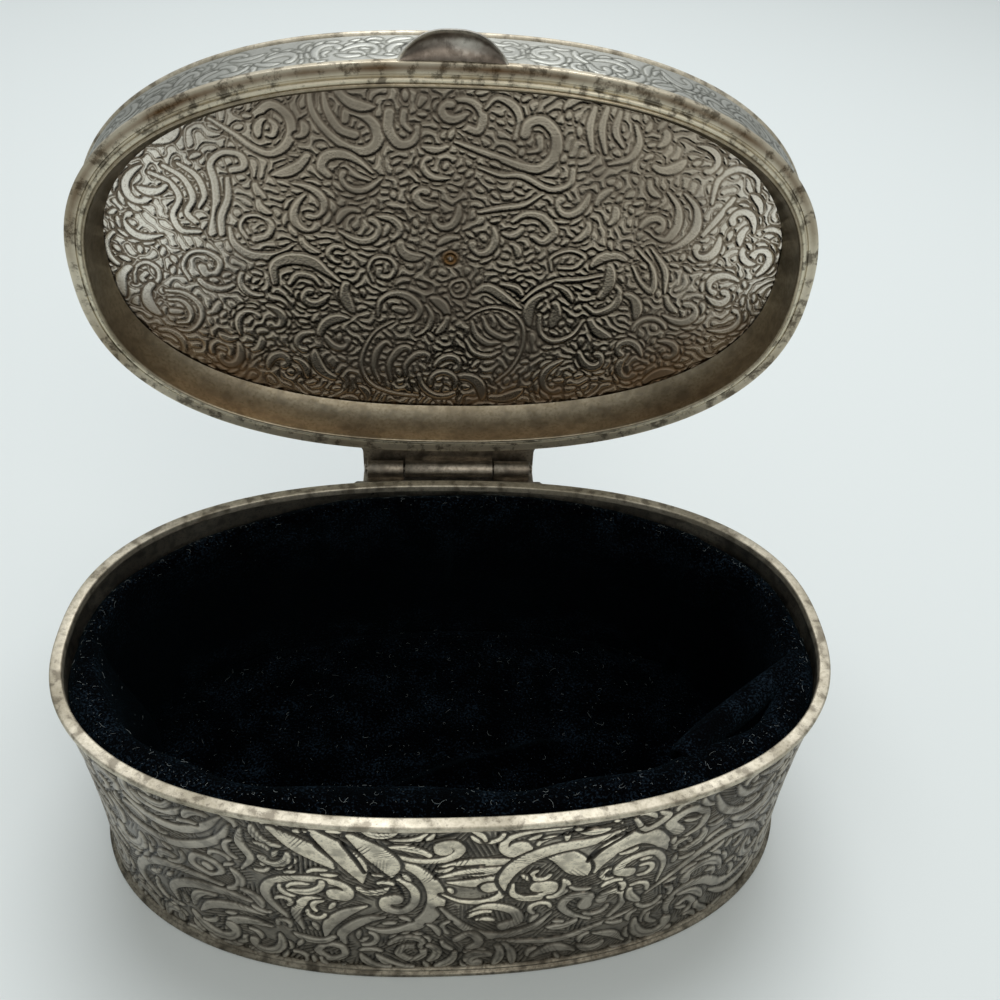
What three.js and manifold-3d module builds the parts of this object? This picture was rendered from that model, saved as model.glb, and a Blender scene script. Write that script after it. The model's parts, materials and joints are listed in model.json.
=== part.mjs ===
// Oval silver-plated trinket box with a hinged lid, standing open.
// Millimetres, +Z up, X along the length, the front towards -Y.
// The origin is the centre of the base's underside, on the table.
// The lid turns on a pin behind the body's rim and stands a quarter turn open.

import * as THREE from 'three';
import { mergeVertices } from 'three/addons/utils/BufferGeometryUtils.js';
import Module from 'manifold-3d';

const wasm = await Module();
wasm.setup();

// Driving dimensions: the oval and the heights
const halfLength = 65;            // of the body's rim
const halfWidth = 38;
const ovalPower = 2.36;           // 2 is an ellipse; this is a little fuller
const bodyHeight = 46.5;          // table to the top of the body's rim
const lidOpenTurn = Math.PI / 2;  // how far the lid stands open

// Clearances and common metal sizes
const seatGap = 0.3;              // between pieces soldered or pressed together
const partingGap = 0.3;           // between the two rims when the lid is shut
const sheet = 0.8;                // thickness of the stamped metal

// Body rim: a flat ring with softened edges
const rimWidth = 1.9;
const rimThick = 1.3;
const rimRound = 0.35;

// Side wall: its outside lies in from the rim, dips at the waist and flares to the foot
const wallTopInset = 0.75;
const wallFlareEnds = 0.45;       // outward growth at the ends of the oval
const wallFlareSides = 1.9;       // outward growth at the long sides
const wallFlarePowerShare = 2.2;
const waistDepth = 0.45;
const wallCourses = 7;

// Foot moulding and base plate
const footHeight = 1.9;
const footReach = 0.95;           // how far it stands out from the wall
const footRound = 0.5;
const baseThick = 0.9;

// Velvet lining on its card
const cardThick = 1.2;
const padHeight = 5.2;
const padEdgeHeight = 3.4;
const padCornerInset = 1.6;
const padShoulderHeightShare = 0.83;  // of the edge's height, where its corner starts to turn
const padShoulderInsetShare = 0.25;
const padCrownShares = [0.67, 0.33];  // of the pad's reach, where the crown has its courses
const liningThick = 2.8;
const liningRoll = 1.1;           // rounding of the lining's turned-over top
const liningDrop = 2.6;           // rim top down to the lining's top
const liningCourses = 6;
const slackRoll = 4;              // the velvet's slack, rolled under the rim in front
const slackRollFoot = 23;         // height where the slack starts to roll
const slackRollFull = 36;

// Lid rim: a stepped moulding, set in a little from the body's rim
const lidRimInset = 1.1;
const lidRimWidth = 2.6;
const lidRimThick = 1.25;
const lidRimRound = 0.3;
const lidRimStepWidth = 1.1;      // the flat outer land
const lidRimStepDepth = 0.3;      // the groove inside it
const lidRimGrooveWidth = 0.35;

// Lid collar: a smooth strip that drops into the body and runs up to the panel
const collarDrop = 0.9;           // below the lid's rim
const collarThick = 0.6;
const collarRise = 6.9;           // lid rim's face up to the panel
const collarCoveEnds = 0.9;       // how far it draws in at the ends
const collarCoveSides = 2.7;
const collarCovePowerShare = 2.4;
const collarCourses = 6;

// Lid side band, edge wire, top and inner panel
const bandHeight = 9.6;
const bandFootInset = 0.45;       // in from the lid rim's edge
const bandFlare = 0.75;           // outward growth from rim to top
const wireRadius = 0.75;
const wireReach = 0.45;           // how far the wire stands out from the band
const topCrown = 2.2;
const panelCrown = 2.6;
const panelLap = 0.9;             // how far the panel laps over the collar's top
const crownCourses = 3;

// Hinge
const hingeBack = 3.2;            // pin centre behind the rim
const knuckleRadius = 1.65;
const knuckleGap = 0.3;           // between neighbouring knuckles, and round the pin
const pinRadius = 0.55;
const pinHeadRadius = 0.95;
const pinHeadLength = 0.4;
const middleKnuckle = 17.5;
const outerKnuckle = 7.15;
const leafWidth = 34.3;
const leafThick = 0.9;
const leafFillet = 1.6;           // where the lid's leaf spreads into the lid
const ledgeWidth = 39;            // the body's leaf, at the rim
const ledgeDepth = 1.7;
const ledgeChamfer = 1.1;
const leafRoot = 5;               // how far a leaf's blank runs in before it is trimmed
const webShare = 0.55;            // of the knuckle's radius, where its web ends behind the pin

// Thumb tab: a rounded tongue, hollowed underneath
const tabHalfWidth = 8.5;
const tabReach = 4.4;
const tabDish = 1.5;
const tabThick = 0.75;
const tabLip = 0.35;

// Smoothness
const ovalSteps = 64;
const roundSteps = 16;
const filletSteps = 4;
const tabSteps = 36;
const tabCourses = 4;
const tongueSteps = 20;
const overrun = 2;                // how far a cutting body runs past what it cuts

// Derived places
const hingeY = halfWidth + hingeBack;
const hingeZ = bodyHeight + partingGap / 2;
const lidRimFace = bodyHeight + partingGap;
const lidRimTop = lidRimFace + lidRimThick;
const bandBottom = lidRimTop + seatGap;
const bandTop = bandBottom + bandHeight;
const wallTop = bodyHeight - rimThick;
const floorTop = baseThick + cardThick;
const liningTop = bodyHeight - liningDrop;
const knucklesWidth = middleKnuckle + 2 * (knuckleGap + outerKnuckle);
const leafOffset = knuckleRadius + knuckleGap;

// Finishes
const finish = (color, roughness, metalness) => new THREE.MeshStandardMaterial({ color, roughness, metalness });
const brightSilver = finish(0xc9c2ae, 0.35, 1);
const engravedSilver = finish(0x8d8a84, 0.42, 1);
const oliveSilver = finish(0x77735f, 0.45, 1);
const brownSilver = finish(0x6b5c46, 0.5, 1);
const navyVelvet = finish(0x0b0f1c, 0.95, 0);
const greyCard = finish(0x8a8377, 0.9, 0);

// The oval outline. One set of turns serves every course, so that neighbouring
// pieces have their facets side by side.
class Oval extends THREE.Curve {
  constructor(across, deep) {
    super();
    this.across = across;
    this.deep = deep;
  }

  getPoint(turn, target = new THREE.Vector3()) {
    const angle = turn * 2 * Math.PI;
    const bulge = (value) => Math.sign(value) * Math.abs(value) ** (2 / ovalPower);
    return target.set(this.across * bulge(Math.cos(angle)), this.deep * bulge(Math.sin(angle)), 0);
  }
}

function evenTurns(steps) {
  const oval = new Oval(halfLength, halfWidth);
  const quarter = [];
  for (let i = 0; i < steps / 4; i += 1) {
    quarter.push(i === 0 ? 0 : oval.getUtoTmapping(i / steps));
  }
  const turns = [];
  for (let i = 0; i < steps / 4; i += 1) turns.push(quarter[i]);
  turns.push(1 / 4);
  for (let i = steps / 4 - 1; i > 0; i -= 1) turns.push(1 / 2 - quarter[i]);
  return [...turns, ...turns.map((turn) => turn + 1 / 2)];
}

const turns = evenTurns(ovalSteps);

// A course is one oval of a section: its half-length, half-width and height, and how
// far it is shifted to the back.
const course = (inset, z, insetSides = inset, shift = 0) => [halfLength - inset, halfWidth - insetSides, z, shift];
const onAxis = (z) => [0, 0, z];

// Turns a triangle mesh inside out if it encloses a negative volume.
function facingOut(positions, indices) {
  const corner = (i) => new THREE.Vector3().fromArray(positions, 3 * i);
  let volume = 0;
  for (let i = 0; i < indices.length; i += 3) {
    const [a, b, c] = [indices[i], indices[i + 1], indices[i + 2]].map(corner);
    volume += a.dot(b.cross(c));
  }
  if (volume < 0) indices.reverse();
  const geometry = new THREE.BufferGeometry();
  geometry.setAttribute('position', new THREE.Float32BufferAttribute(positions, 3));
  geometry.setIndex(indices);
  return geometry;
}

// Sweeps a section round the oval. A ring's section closes on itself; a disc's
// section starts and ends on the axis.
function ovalSweep(section) {
  const isDisc = section[0][0] === 0;
  const positions = [];
  const starts = [];
  for (const [across, deep, z, shift = 0] of section) {
    starts.push(positions.length / 3);
    if (across === 0) {
      positions.push(0, 0, z);
    } else {
      const oval = new Oval(across, deep);
      for (const turn of turns) {
        const point = oval.getPoint(turn);
        positions.push(point.x, point.y + shift, z);
      }
    }
  }
  const corners = (k, i, j) => (section[k][0] === 0 ? [starts[k], starts[k]] : [starts[k] + i, starts[k] + j]);
  const indices = [];
  const last = isDisc ? section.length - 1 : section.length;
  for (let k = 0; k < last; k += 1) {
    const next = (k + 1) % section.length;
    for (let i = 0; i < turns.length; i += 1) {
      const j = (i + 1) % turns.length;
      const [a, b] = corners(k, i, j);
      const [c, d] = corners(next, i, j);
      if (a !== b) indices.push(a, b, d);
      if (c !== d) indices.push(a, d, c);
    }
  }
  return facingOut(positions, indices);
}

// Booleans
function toSolid(geometry) {
  const bare = geometry.clone();
  for (const name of Object.keys(bare.attributes)) {
    if (name !== 'position') bare.deleteAttribute(name);
  }
  const merged = mergeVertices(bare);
  return new wasm.Manifold(new wasm.Mesh({
    numProp: 3,
    vertProperties: merged.attributes.position.array,
    triVerts: new Uint32Array(merged.index.array),
  }));
}

function toGeometry(solid) {
  const { vertProperties, triVerts } = solid.getMesh();
  const geometry = new THREE.BufferGeometry();
  geometry.setAttribute('position', new THREE.BufferAttribute(vertProperties, 3));
  geometry.setIndex(new THREE.BufferAttribute(triVerts, 1));
  return geometry;
}

// A plain rod along X, centred on the pin
function rodOnPin(radius, fromX, toX) {
  const rod = new THREE.CylinderGeometry(radius, radius, toX - fromX, roundSteps);
  rod.rotateZ(Math.PI / 2);
  rod.translate((fromX + toX) / 2, hingeY, hingeZ);
  return rod;
}

function blockBetween(low, high) {
  const size = high.map((value, i) => value - low[i]);
  const block = new THREE.BoxGeometry(...size);
  block.translate(...low.map((value, i) => value + size[i] / 2));
  return block;
}

// A solid oval used to trim what is soldered to a wall
const ovalBlock = (inset, bottom, top) => ovalSweep([
  onAxis(bottom), course(inset, bottom), course(inset, top), onAxis(top),
]);

// Side wall: how far its outside lies in from the rim at a share of the way down
function wallInset(down) {
  const flare = down ** wallFlarePowerShare;
  const waist = waistDepth * Math.sin(Math.PI * down);
  return [wallTopInset + waist - wallFlareEnds * flare, wallTopInset + waist - wallFlareSides * flare];
}

// A course of the side wall, moved in by an offset
function wallCourse(z, offset) {
  const [ends, sides] = wallInset((wallTop - z) / wallTop);
  return course(ends + offset, z, sides + offset);
}

function sideWall() {
  const section = [];
  for (let i = 0; i <= wallCourses; i += 1) section.push(wallCourse(wallTop * i / wallCourses, 0));
  for (let i = wallCourses; i >= 0; i -= 1) section.push(wallCourse(wallTop * i / wallCourses, sheet));
  return ovalSweep(section);
}

function bodyRim() {
  return ovalSweep([
    course(0, wallTop + rimRound),
    course(rimRound, wallTop),
    course(rimWidth, wallTop),
    course(rimWidth, bodyHeight - rimRound),
    course(rimWidth - rimRound / 2, bodyHeight),
    course(rimRound, bodyHeight),
    course(0, bodyHeight - rimRound),
  ]);
}

// Foot moulding: a half-round strip round the bottom of the wall
function footMoulding() {
  const reach = (z, out) => {
    const [ends, sides] = wallInset((wallTop - z) / wallTop);
    return course(ends - out, z, sides - out);
  };
  return ovalSweep([
    reach(0, seatGap),
    reach(0, footReach - footRound),
    reach(footRound, footReach),
    reach(footHeight - footRound, footReach),
    reach(footHeight, footReach - footRound),
    reach(footHeight, seatGap),
  ]);
}

// A flat sheet inside the wall, from one height to another
function floorSheet(bottom, top, offset) {
  return ovalSweep([
    onAxis(bottom),
    wallCourse(bottom, offset),
    wallCourse(top, offset),
    onAxis(top),
  ]);
}

// Velvet floor pad: crowned, with drawn-in edges
function floorPad() {
  const edge = sheet + seatGap + liningThick + seatGap;
  const low = wallCourse(floorTop, edge);
  const drawn = (inset, z) => [low[0] - inset, low[1] - inset, z];
  const section = [onAxis(floorTop), drawn(0, floorTop), drawn(0, floorTop + padEdgeHeight / 2)];
  const shoulderZ = floorTop + padEdgeHeight * padShoulderHeightShare;
  section.push(drawn(padCornerInset * padShoulderInsetShare, shoulderZ));
  section.push(drawn(padCornerInset, floorTop + padEdgeHeight));
  for (const share of padCrownShares) {
    const rise = (padHeight - padEdgeHeight) * (1 - share * share);
    section.push([low[0] * share, low[1] * share, floorTop + padEdgeHeight + rise]);
  }
  section.push(onAxis(floorTop + padHeight));
  return ovalSweep(section);
}

// Inside of the velvet sleeve: in front its slack is rolled under the rim
function sleeveInside(z, offset) {
  const rise = THREE.MathUtils.smoothstep(z, slackRollFoot, slackRollFull);
  const shift = slackRoll * rise / 2;
  const [ends, sides] = wallInset((wallTop - z) / wallTop);
  return course(ends + offset, z, sides + offset + shift, shift);
}

// Velvet side lining: a sleeve against the wall with a turned-over top
function sideLining() {
  const outer = sheet + seatGap;
  const inner = outer + liningThick;
  const straightTop = liningTop - liningRoll;
  const section = [];
  for (let i = 0; i <= liningCourses; i += 1) {
    section.push(wallCourse(floorTop + (straightTop - floorTop) * i / liningCourses, outer));
  }
  section.push(wallCourse(liningTop, outer + liningRoll / 2));
  section.push(sleeveInside(liningTop, inner - liningRoll));
  for (let i = liningCourses; i >= 0; i -= 1) {
    section.push(sleeveInside(floorTop + (straightTop - floorTop) * i / liningCourses, inner));
  }
  return ovalSweep(section);
}

// Hinge knuckles: a rolled barrel on the pin with its web to the leaf
function knuckle(fromX, toX, leafZ) {
  const barrel = toSolid(rodOnPin(knuckleRadius, fromX, toX));
  const web = toSolid(blockBetween(
    [fromX, hingeY - knuckleRadius, Math.min(leafZ, hingeZ)],
    [toX, hingeY + knuckleRadius * webShare, Math.max(leafZ, hingeZ)],
  ));
  return barrel.add(web);
}

function extrudeUp(shape, bottom, top, curveSegments = filletSteps) {
  const settings = { depth: top - bottom, bevelEnabled: false, curveSegments };
  const plate = new THREE.ExtrudeGeometry(shape, settings);
  plate.translate(0, 0, bottom);
  return plate;
}

// Body leaf: a ledge behind the rim, wider where it meets the wall, with two knuckles
function bodyHingeLeaf() {
  const top = hingeZ - leafOffset;
  const bottom = top - leafThick;
  const rearY = hingeY + knuckleRadius + leafThick;
  const ledgeY = halfWidth + ledgeDepth;
  const half = leafWidth / 2;
  const halfLedge = ledgeWidth / 2;
  const outline = new THREE.Shape();
  outline.moveTo(-halfLedge, halfWidth - leafRoot);
  outline.lineTo(halfLedge, halfWidth - leafRoot);
  outline.lineTo(halfLedge, ledgeY - ledgeChamfer);
  outline.lineTo(halfLedge - ledgeChamfer, ledgeY);
  outline.lineTo(half, ledgeY);
  outline.lineTo(half, rearY);
  outline.lineTo(-half, rearY);
  outline.lineTo(-half, ledgeY);
  outline.lineTo(ledgeChamfer - halfLedge, ledgeY);
  outline.lineTo(-halfLedge, ledgeY - ledgeChamfer);
  outline.closePath();
  const innerX = middleKnuckle / 2 + knuckleGap;
  const outerX = knucklesWidth / 2;
  const webZ = (top + bottom) / 2;
  const leaf = toSolid(extrudeUp(outline, bottom, top))
    .add(knuckle(innerX, outerX, webZ))
    .add(knuckle(-outerX, -innerX, webZ))
    .subtract(toSolid(ovalBlock(wallTopInset - seatGap, bottom - overrun, wallTop)))
    .subtract(toSolid(ovalBlock(-seatGap, wallTop, bodyHeight + overrun)))
    .subtract(toSolid(rodOnPin(pinRadius + knuckleGap, -outerX - overrun, outerX + overrun)));
  return toGeometry(leaf);
}

// Lid leaf: drawn shut, above the pin; it spreads into the lid with a fillet at each side
function lidHingeLeaf() {
  const bottom = hingeZ + leafOffset;
  const top = bottom + leafThick;
  const rearY = hingeY + knuckleRadius;
  const half = leafWidth / 2;
  const filletY = halfWidth - lidRimInset + leafFillet;
  const outline = new THREE.Shape();
  outline.moveTo(half, rearY);
  outline.lineTo(-half, rearY);
  outline.lineTo(-half, filletY);
  outline.absarc(-half - leafFillet, filletY, leafFillet, 0, -Math.PI / 2, true);
  outline.lineTo(-half - leafFillet, halfWidth - leafRoot);
  outline.lineTo(half + leafFillet, halfWidth - leafRoot);
  outline.lineTo(half + leafFillet, filletY - leafFillet);
  outline.absarc(half + leafFillet, filletY, leafFillet, -Math.PI / 2, -Math.PI, true);
  outline.closePath();
  const halfMiddle = middleKnuckle / 2;
  const leaf = toSolid(extrudeUp(outline, bottom, top))
    .add(knuckle(-halfMiddle, halfMiddle, (bottom + top) / 2))
    .subtract(toSolid(ovalBlock(lidRimInset + bandFootInset - bandFlare * leafThick / bandHeight - seatGap,
      bottom - overrun, top + overrun)))
    .subtract(toSolid(rodOnPin(pinRadius + knuckleGap, -halfMiddle - overrun, halfMiddle + overrun)));
  return toGeometry(leaf);
}

// Hinge pin: a wire with a small riveted head at each end
function hingePin() {
  const halfSpan = knucklesWidth / 2 + knuckleGap;
  const profile = [
    new THREE.Vector2(0, -halfSpan - pinHeadLength),
    new THREE.Vector2(pinHeadRadius / 2, -halfSpan - pinHeadLength),
    new THREE.Vector2(pinHeadRadius, -halfSpan),
    new THREE.Vector2(pinRadius, -halfSpan),
    new THREE.Vector2(pinRadius, halfSpan),
    new THREE.Vector2(pinHeadRadius, halfSpan),
    new THREE.Vector2(pinHeadRadius / 2, halfSpan + pinHeadLength),
    new THREE.Vector2(0, halfSpan + pinHeadLength),
  ];
  const pin = new THREE.LatheGeometry(profile, roundSteps);
  pin.rotateZ(-Math.PI / 2);
  pin.translate(0, hingeY, hingeZ);
  return pin;
}

// Lid rim: an outer land, a groove and an inner bead on its lower face
function lidRim() {
  const outer = lidRimInset;
  const inner = lidRimInset + lidRimWidth;
  const land = outer + lidRimStepWidth;
  return ovalSweep([
    course(outer, lidRimTop),
    course(outer, lidRimFace + lidRimRound),
    course(outer + lidRimRound, lidRimFace),
    course(land, lidRimFace),
    course(land + lidRimGrooveWidth / 2, lidRimFace + lidRimStepDepth),
    course(land + lidRimGrooveWidth, lidRimFace + lidRimStepDepth),
    course(land + 2 * lidRimGrooveWidth, lidRimFace),
    course(inner - lidRimRound, lidRimFace),
    course(inner, lidRimFace + lidRimRound),
    course(inner, lidRimTop),
  ]);
}

// Lid collar: its lower edge drops into the body; above the rim it coves in to the panel
function collarInset(up) {
  const cove = up ** collarCovePowerShare;
  const start = lidRimInset + lidRimWidth + seatGap + collarThick;
  return [start + collarCoveEnds * cove, start + collarCoveSides * cove];
}

function collarCourse(up, offset) {
  const [ends, sides] = collarInset(up);
  return course(ends + offset, lidRimFace + collarRise * up, sides + offset);
}

function lidCollar() {
  const inner = lidRimInset + lidRimWidth + seatGap + collarThick;
  const bottom = lidRimFace - collarDrop;
  const section = [course(inner, bottom), course(inner - collarThick, bottom)];
  for (let i = 0; i <= collarCourses; i += 1) section.push(collarCourse(i / collarCourses, -collarThick));
  for (let i = collarCourses; i >= 0; i -= 1) section.push(collarCourse(i / collarCourses, 0));
  return ovalSweep(section);
}

// Lid side band: stands on the lid's rim and leans out to the edge wire
function lidSideBand() {
  const foot = lidRimInset + bandFootInset;
  const head = foot - bandFlare;
  return ovalSweep([
    course(foot, bandBottom),
    course(head, bandTop),
    course(head + sheet, bandTop),
    course(foot + sheet, bandBottom),
  ]);
}

// Lid edge wire: a round wire round the top of the band
const wireCentreInset = lidRimInset + bandFootInset - bandFlare + wireRadius - wireReach;
const wireCentreZ = bandTop + seatGap + wireRadius;

function lidEdgeWire() {
  const section = [];
  const sides = roundSteps / 2;
  for (let i = 0; i < sides; i += 1) {
    const angle = 2 * Math.PI * (i + 1 / 2) / sides;
    const inset = wireCentreInset - wireRadius * Math.cos(angle);
    section.push(course(inset, wireCentreZ + wireRadius * Math.sin(angle)));
  }
  return ovalSweep(section);
}

// A shallow domed sheet of even thickness, its edge at one height
function crownedSheet(edgeInset, edgeInsetSides, edgeZ, crown) {
  const rim = course(edgeInset, edgeZ, edgeInsetSides);
  const dome = (share, z) => [rim[0] * share, rim[1] * share, z + crown * (1 - share * share)];
  const section = [onAxis(edgeZ + crown)];
  for (let i = 1; i <= crownCourses; i += 1) section.push(dome(i / crownCourses, edgeZ));
  for (let i = crownCourses; i >= 1; i -= 1) section.push(dome(i / crownCourses, edgeZ + sheet));
  section.push(onAxis(edgeZ + crown + sheet));
  return ovalSweep(section);
}

// Lid top: fills the edge wire
function lidTop() {
  const inset = wireCentreInset + wireRadius + seatGap;
  return crownedSheet(inset, inset, wireCentreZ - sheet / 2, topCrown);
}

// Inner panel: lies on the collar's upper edge
function lidInnerPanel() {
  const [ends, sides] = collarInset(1);
  return crownedSheet(ends - panelLap, sides - panelLap, lidRimFace + collarRise + seatGap, panelCrown);
}

// Thumb tab: an oval dish, trimmed to a rounded tongue and by the lid
function thumbTab() {
  const profile = [];
  for (let i = 0; i <= tabCourses; i += 1) {
    const share = i / tabCourses;
    profile.push(new THREE.Vector2(share, tabDish * (1 - share * share)));
  }
  for (let i = tabCourses; i >= 0; i -= 1) {
    const share = i / tabCourses;
    profile.push(new THREE.Vector2(share, tabThick + tabDish * (1 - share * share)));
  }
  const dish = new THREE.LatheGeometry(profile, tabSteps);
  dish.rotateX(Math.PI / 2);
  dish.scale(tabHalfWidth, tabReach, 1);
  const rootY = halfWidth - lidRimInset;
  dish.translate(0, -rootY, lidRimFace + tabLip);
  const below = lidRimFace - overrun;
  const above = bandBottom + tabDish + overrun;
  const tongue = new THREE.Shape();
  tongue.moveTo(tabHalfWidth, -rootY);
  tongue.quadraticCurveTo(0, -rootY - 2 * tabReach, -tabHalfWidth, -rootY);
  tongue.lineTo(-tabHalfWidth, 0);
  tongue.lineTo(tabHalfWidth, 0);
  tongue.closePath();
  const trimmed = toSolid(dish)
    .intersect(toSolid(extrudeUp(tongue, below, above, tongueSteps)))
    .subtract(toSolid(ovalBlock(lidRimInset - seatGap, below, above)));
  return toGeometry(trimmed);
}

// Assembly
const box = new THREE.Group();
const lid = new THREE.Group();
lid.position.set(0, hingeY, hingeZ);
lid.rotation.x = -lidOpenTurn;
box.add(lid);

function addToBody(name, geometry, material) {
  const mesh = new THREE.Mesh(geometry, material);
  mesh.name = name;
  box.add(mesh);
}

function addToLid(name, geometry, material) {
  const mesh = new THREE.Mesh(geometry, material);
  mesh.name = name;
  mesh.position.set(0, -hingeY, -hingeZ);
  lid.add(mesh);
}

const insideWall = sheet + seatGap;
addToBody('side_wall', sideWall(), engravedSilver);
addToBody('body_rim', bodyRim(), brightSilver);
addToBody('foot_moulding', footMoulding(), engravedSilver);
addToBody('base_plate', floorSheet(0, baseThick, insideWall), engravedSilver);
addToBody('floor_card', floorSheet(baseThick, floorTop, insideWall), greyCard);
addToBody('floor_pad', floorPad(), navyVelvet);
addToBody('side_lining', sideLining(), navyVelvet);
addToBody('body_hinge_leaf', bodyHingeLeaf(), brownSilver);
addToBody('hinge_pin', hingePin(), brownSilver);

addToLid('lid_rim', lidRim(), oliveSilver);
addToLid('lid_collar', lidCollar(), oliveSilver);
addToLid('lid_side_band', lidSideBand(), engravedSilver);
addToLid('lid_edge_wire', lidEdgeWire(), brightSilver);
addToLid('lid_top', lidTop(), engravedSilver);
addToLid('lid_inner_panel', lidInnerPanel(), engravedSilver);
addToLid('lid_hinge_leaf', lidHingeLeaf(), brownSilver);
addToLid('thumb_tab', thumbTab(), brightSilver);

export default box;
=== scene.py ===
# Oval silver-plated trinket box with a velvet lining, its lid standing open.
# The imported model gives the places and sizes; this script gives the surfaces.

import json
import math

import bmesh
import bpy
import numpy as np
from mathutils import Matrix, Vector


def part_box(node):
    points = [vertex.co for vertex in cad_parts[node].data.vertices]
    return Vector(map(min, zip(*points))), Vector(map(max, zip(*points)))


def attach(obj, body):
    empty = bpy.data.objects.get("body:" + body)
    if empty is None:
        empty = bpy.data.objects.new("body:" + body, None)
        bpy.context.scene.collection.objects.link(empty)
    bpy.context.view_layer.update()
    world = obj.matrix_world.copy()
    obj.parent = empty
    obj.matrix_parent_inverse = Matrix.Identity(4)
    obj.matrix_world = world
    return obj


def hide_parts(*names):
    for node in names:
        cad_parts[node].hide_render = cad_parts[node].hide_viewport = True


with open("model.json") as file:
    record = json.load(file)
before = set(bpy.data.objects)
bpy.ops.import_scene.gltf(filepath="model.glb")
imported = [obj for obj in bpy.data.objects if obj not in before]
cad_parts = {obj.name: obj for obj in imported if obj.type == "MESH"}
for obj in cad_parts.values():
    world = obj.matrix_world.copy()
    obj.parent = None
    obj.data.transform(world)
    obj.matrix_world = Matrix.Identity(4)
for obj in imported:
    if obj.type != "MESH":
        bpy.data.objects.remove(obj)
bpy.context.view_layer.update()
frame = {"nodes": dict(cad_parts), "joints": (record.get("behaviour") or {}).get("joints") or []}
MM = 0.001


def box_mm(node):
    """Lowest and highest corner of a node, in millimetres."""
    low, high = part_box(node)
    return [value / MM for value in low], [value / MM for value in high]


# The oval and the body's heights, from the frame
OVAL_POWER = 2.36
RIM_LOW, RIM_HIGH = box_mm("body_rim")
HALF_LENGTH, HALF_WIDTH, RIM_TOP = RIM_HIGH
RIM_BOTTOM = RIM_LOW[2]
HINGE_Y, HINGE_Z = [value / MM for value in frame["joints"][0]["pos_m"][1:]]
LID_OPEN = math.pi / 2

# The side wall: inset from the rim, waist, flare and thickness in mm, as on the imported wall
WALL_TOP_INSET = 0.75
WALL_WAIST = 0.45
WALL_FLARE_ENDS = 0.45
WALL_FLARE_SIDES = 1.9
WALL_FLARE_POWER = 2.2
SHEET = 0.8


def shut_box(node):
    """Lowest and highest corner of a lid node as if the lid were shut."""
    low, high = box_mm(node)
    return (
        [low[0], HINGE_Y - (high[2] - HINGE_Z), HINGE_Z + low[1] - HINGE_Y],
        [high[0], HINGE_Y - (low[2] - HINGE_Z), HINGE_Z + high[1] - HINGE_Y],
    )


# Camera, fitted to the photograph of 1000 by 1000 pixels. Its place is in mm, across, up and back in its view
PHOTO_SIZE = 1000
FOCAL_PIXELS = 973
CENTRE_SHIFT_PIXELS = (6.624, 15.735)
VIEW_AZIMUTH = math.radians(-5.411)
VIEW_ELEVATION = math.radians(42.754)
VIEW_ROLL = math.radians(3.793)
VIEW_ACROSS = 11.909
VIEW_UP = 52.77
VIEW_BACK = 197.854
SENSOR = 36


def make_camera():
    """The photograph's view: a camera that looks down on the box, tilted a little to the side."""
    back = Vector((
        math.sin(VIEW_AZIMUTH) * math.cos(VIEW_ELEVATION),
        -math.cos(VIEW_AZIMUTH) * math.cos(VIEW_ELEVATION),
        math.sin(VIEW_ELEVATION),
    ))
    level = Vector((math.cos(VIEW_AZIMUTH), math.sin(VIEW_AZIMUTH), 0))
    up = back.cross(level)
    right = level * math.cos(VIEW_ROLL) + up * math.sin(VIEW_ROLL)
    top = up * math.cos(VIEW_ROLL) - level * math.sin(VIEW_ROLL)
    place = right * VIEW_ACROSS + top * VIEW_UP + back * VIEW_BACK
    data = bpy.data.cameras.new("camera")
    data.sensor_width = SENSOR
    data.lens = FOCAL_PIXELS / PHOTO_SIZE * SENSOR
    data.shift_x = -CENTRE_SHIFT_PIXELS[0] / PHOTO_SIZE
    data.shift_y = CENTRE_SHIFT_PIXELS[1] / PHOTO_SIZE
    data.clip_start = MM
    camera = bpy.data.objects.new("camera", data)
    turn = Matrix((right, top, back)).transposed().to_4x4()
    camera.matrix_world = Matrix.Translation(place * MM) @ turn
    bpy.context.scene.collection.objects.link(camera)
    bpy.context.scene.camera = camera


# The oval as a curve: how finely its length is measured, and how finely its rings are cut
OVAL_STEPS = 7200
RING_STEPS = 360


def oval_point(angle, half_x, half_y):
    """A point of a circle, pushed out to the oval of these half sizes."""
    cos, sin = np.cos(angle), np.sin(angle)
    push = (np.abs(cos) ** OVAL_POWER + np.abs(sin) ** OVAL_POWER) ** (-1 / OVAL_POWER)
    return half_x * cos * push, half_y * sin * push


def half_width_at(x, inset):
    """How far in y the oval reaches at an x, where it lies an inset in from the rim."""
    half_x, half_y = HALF_LENGTH - inset, HALF_WIDTH - inset
    return half_y * (1 - np.abs(x / half_x) ** OVAL_POWER) ** (1 / OVAL_POWER)


def on_disc(u, v):
    """Where a point of a square from -1 to 1 goes when the square is pressed into a disc."""
    return u * np.sqrt(1 - v**2 / 2), v * np.sqrt(1 - u**2 / 2)


def even_run():
    """Angles round the oval from the front centre, the share of its length up to each, and that length."""
    angles = np.linspace(-math.pi / 2, 3 * math.pi / 2, OVAL_STEPS + 1)
    x, y = oval_point(angles, HALF_LENGTH, HALF_WIDTH)
    steps = np.hypot(np.diff(x), np.diff(y))
    run = np.concatenate([[0], np.cumsum(steps)])
    return angles, run / run[-1], run[-1]


RUN_ANGLES, RUN_SHARES, PERIMETER = even_run()


def angle_at(run):
    """Angle on the oval at a run in millimetres from the front centre, positive towards +X."""
    return np.interp((run / PERIMETER) % 1, RUN_SHARES, RUN_ANGLES)


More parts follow.
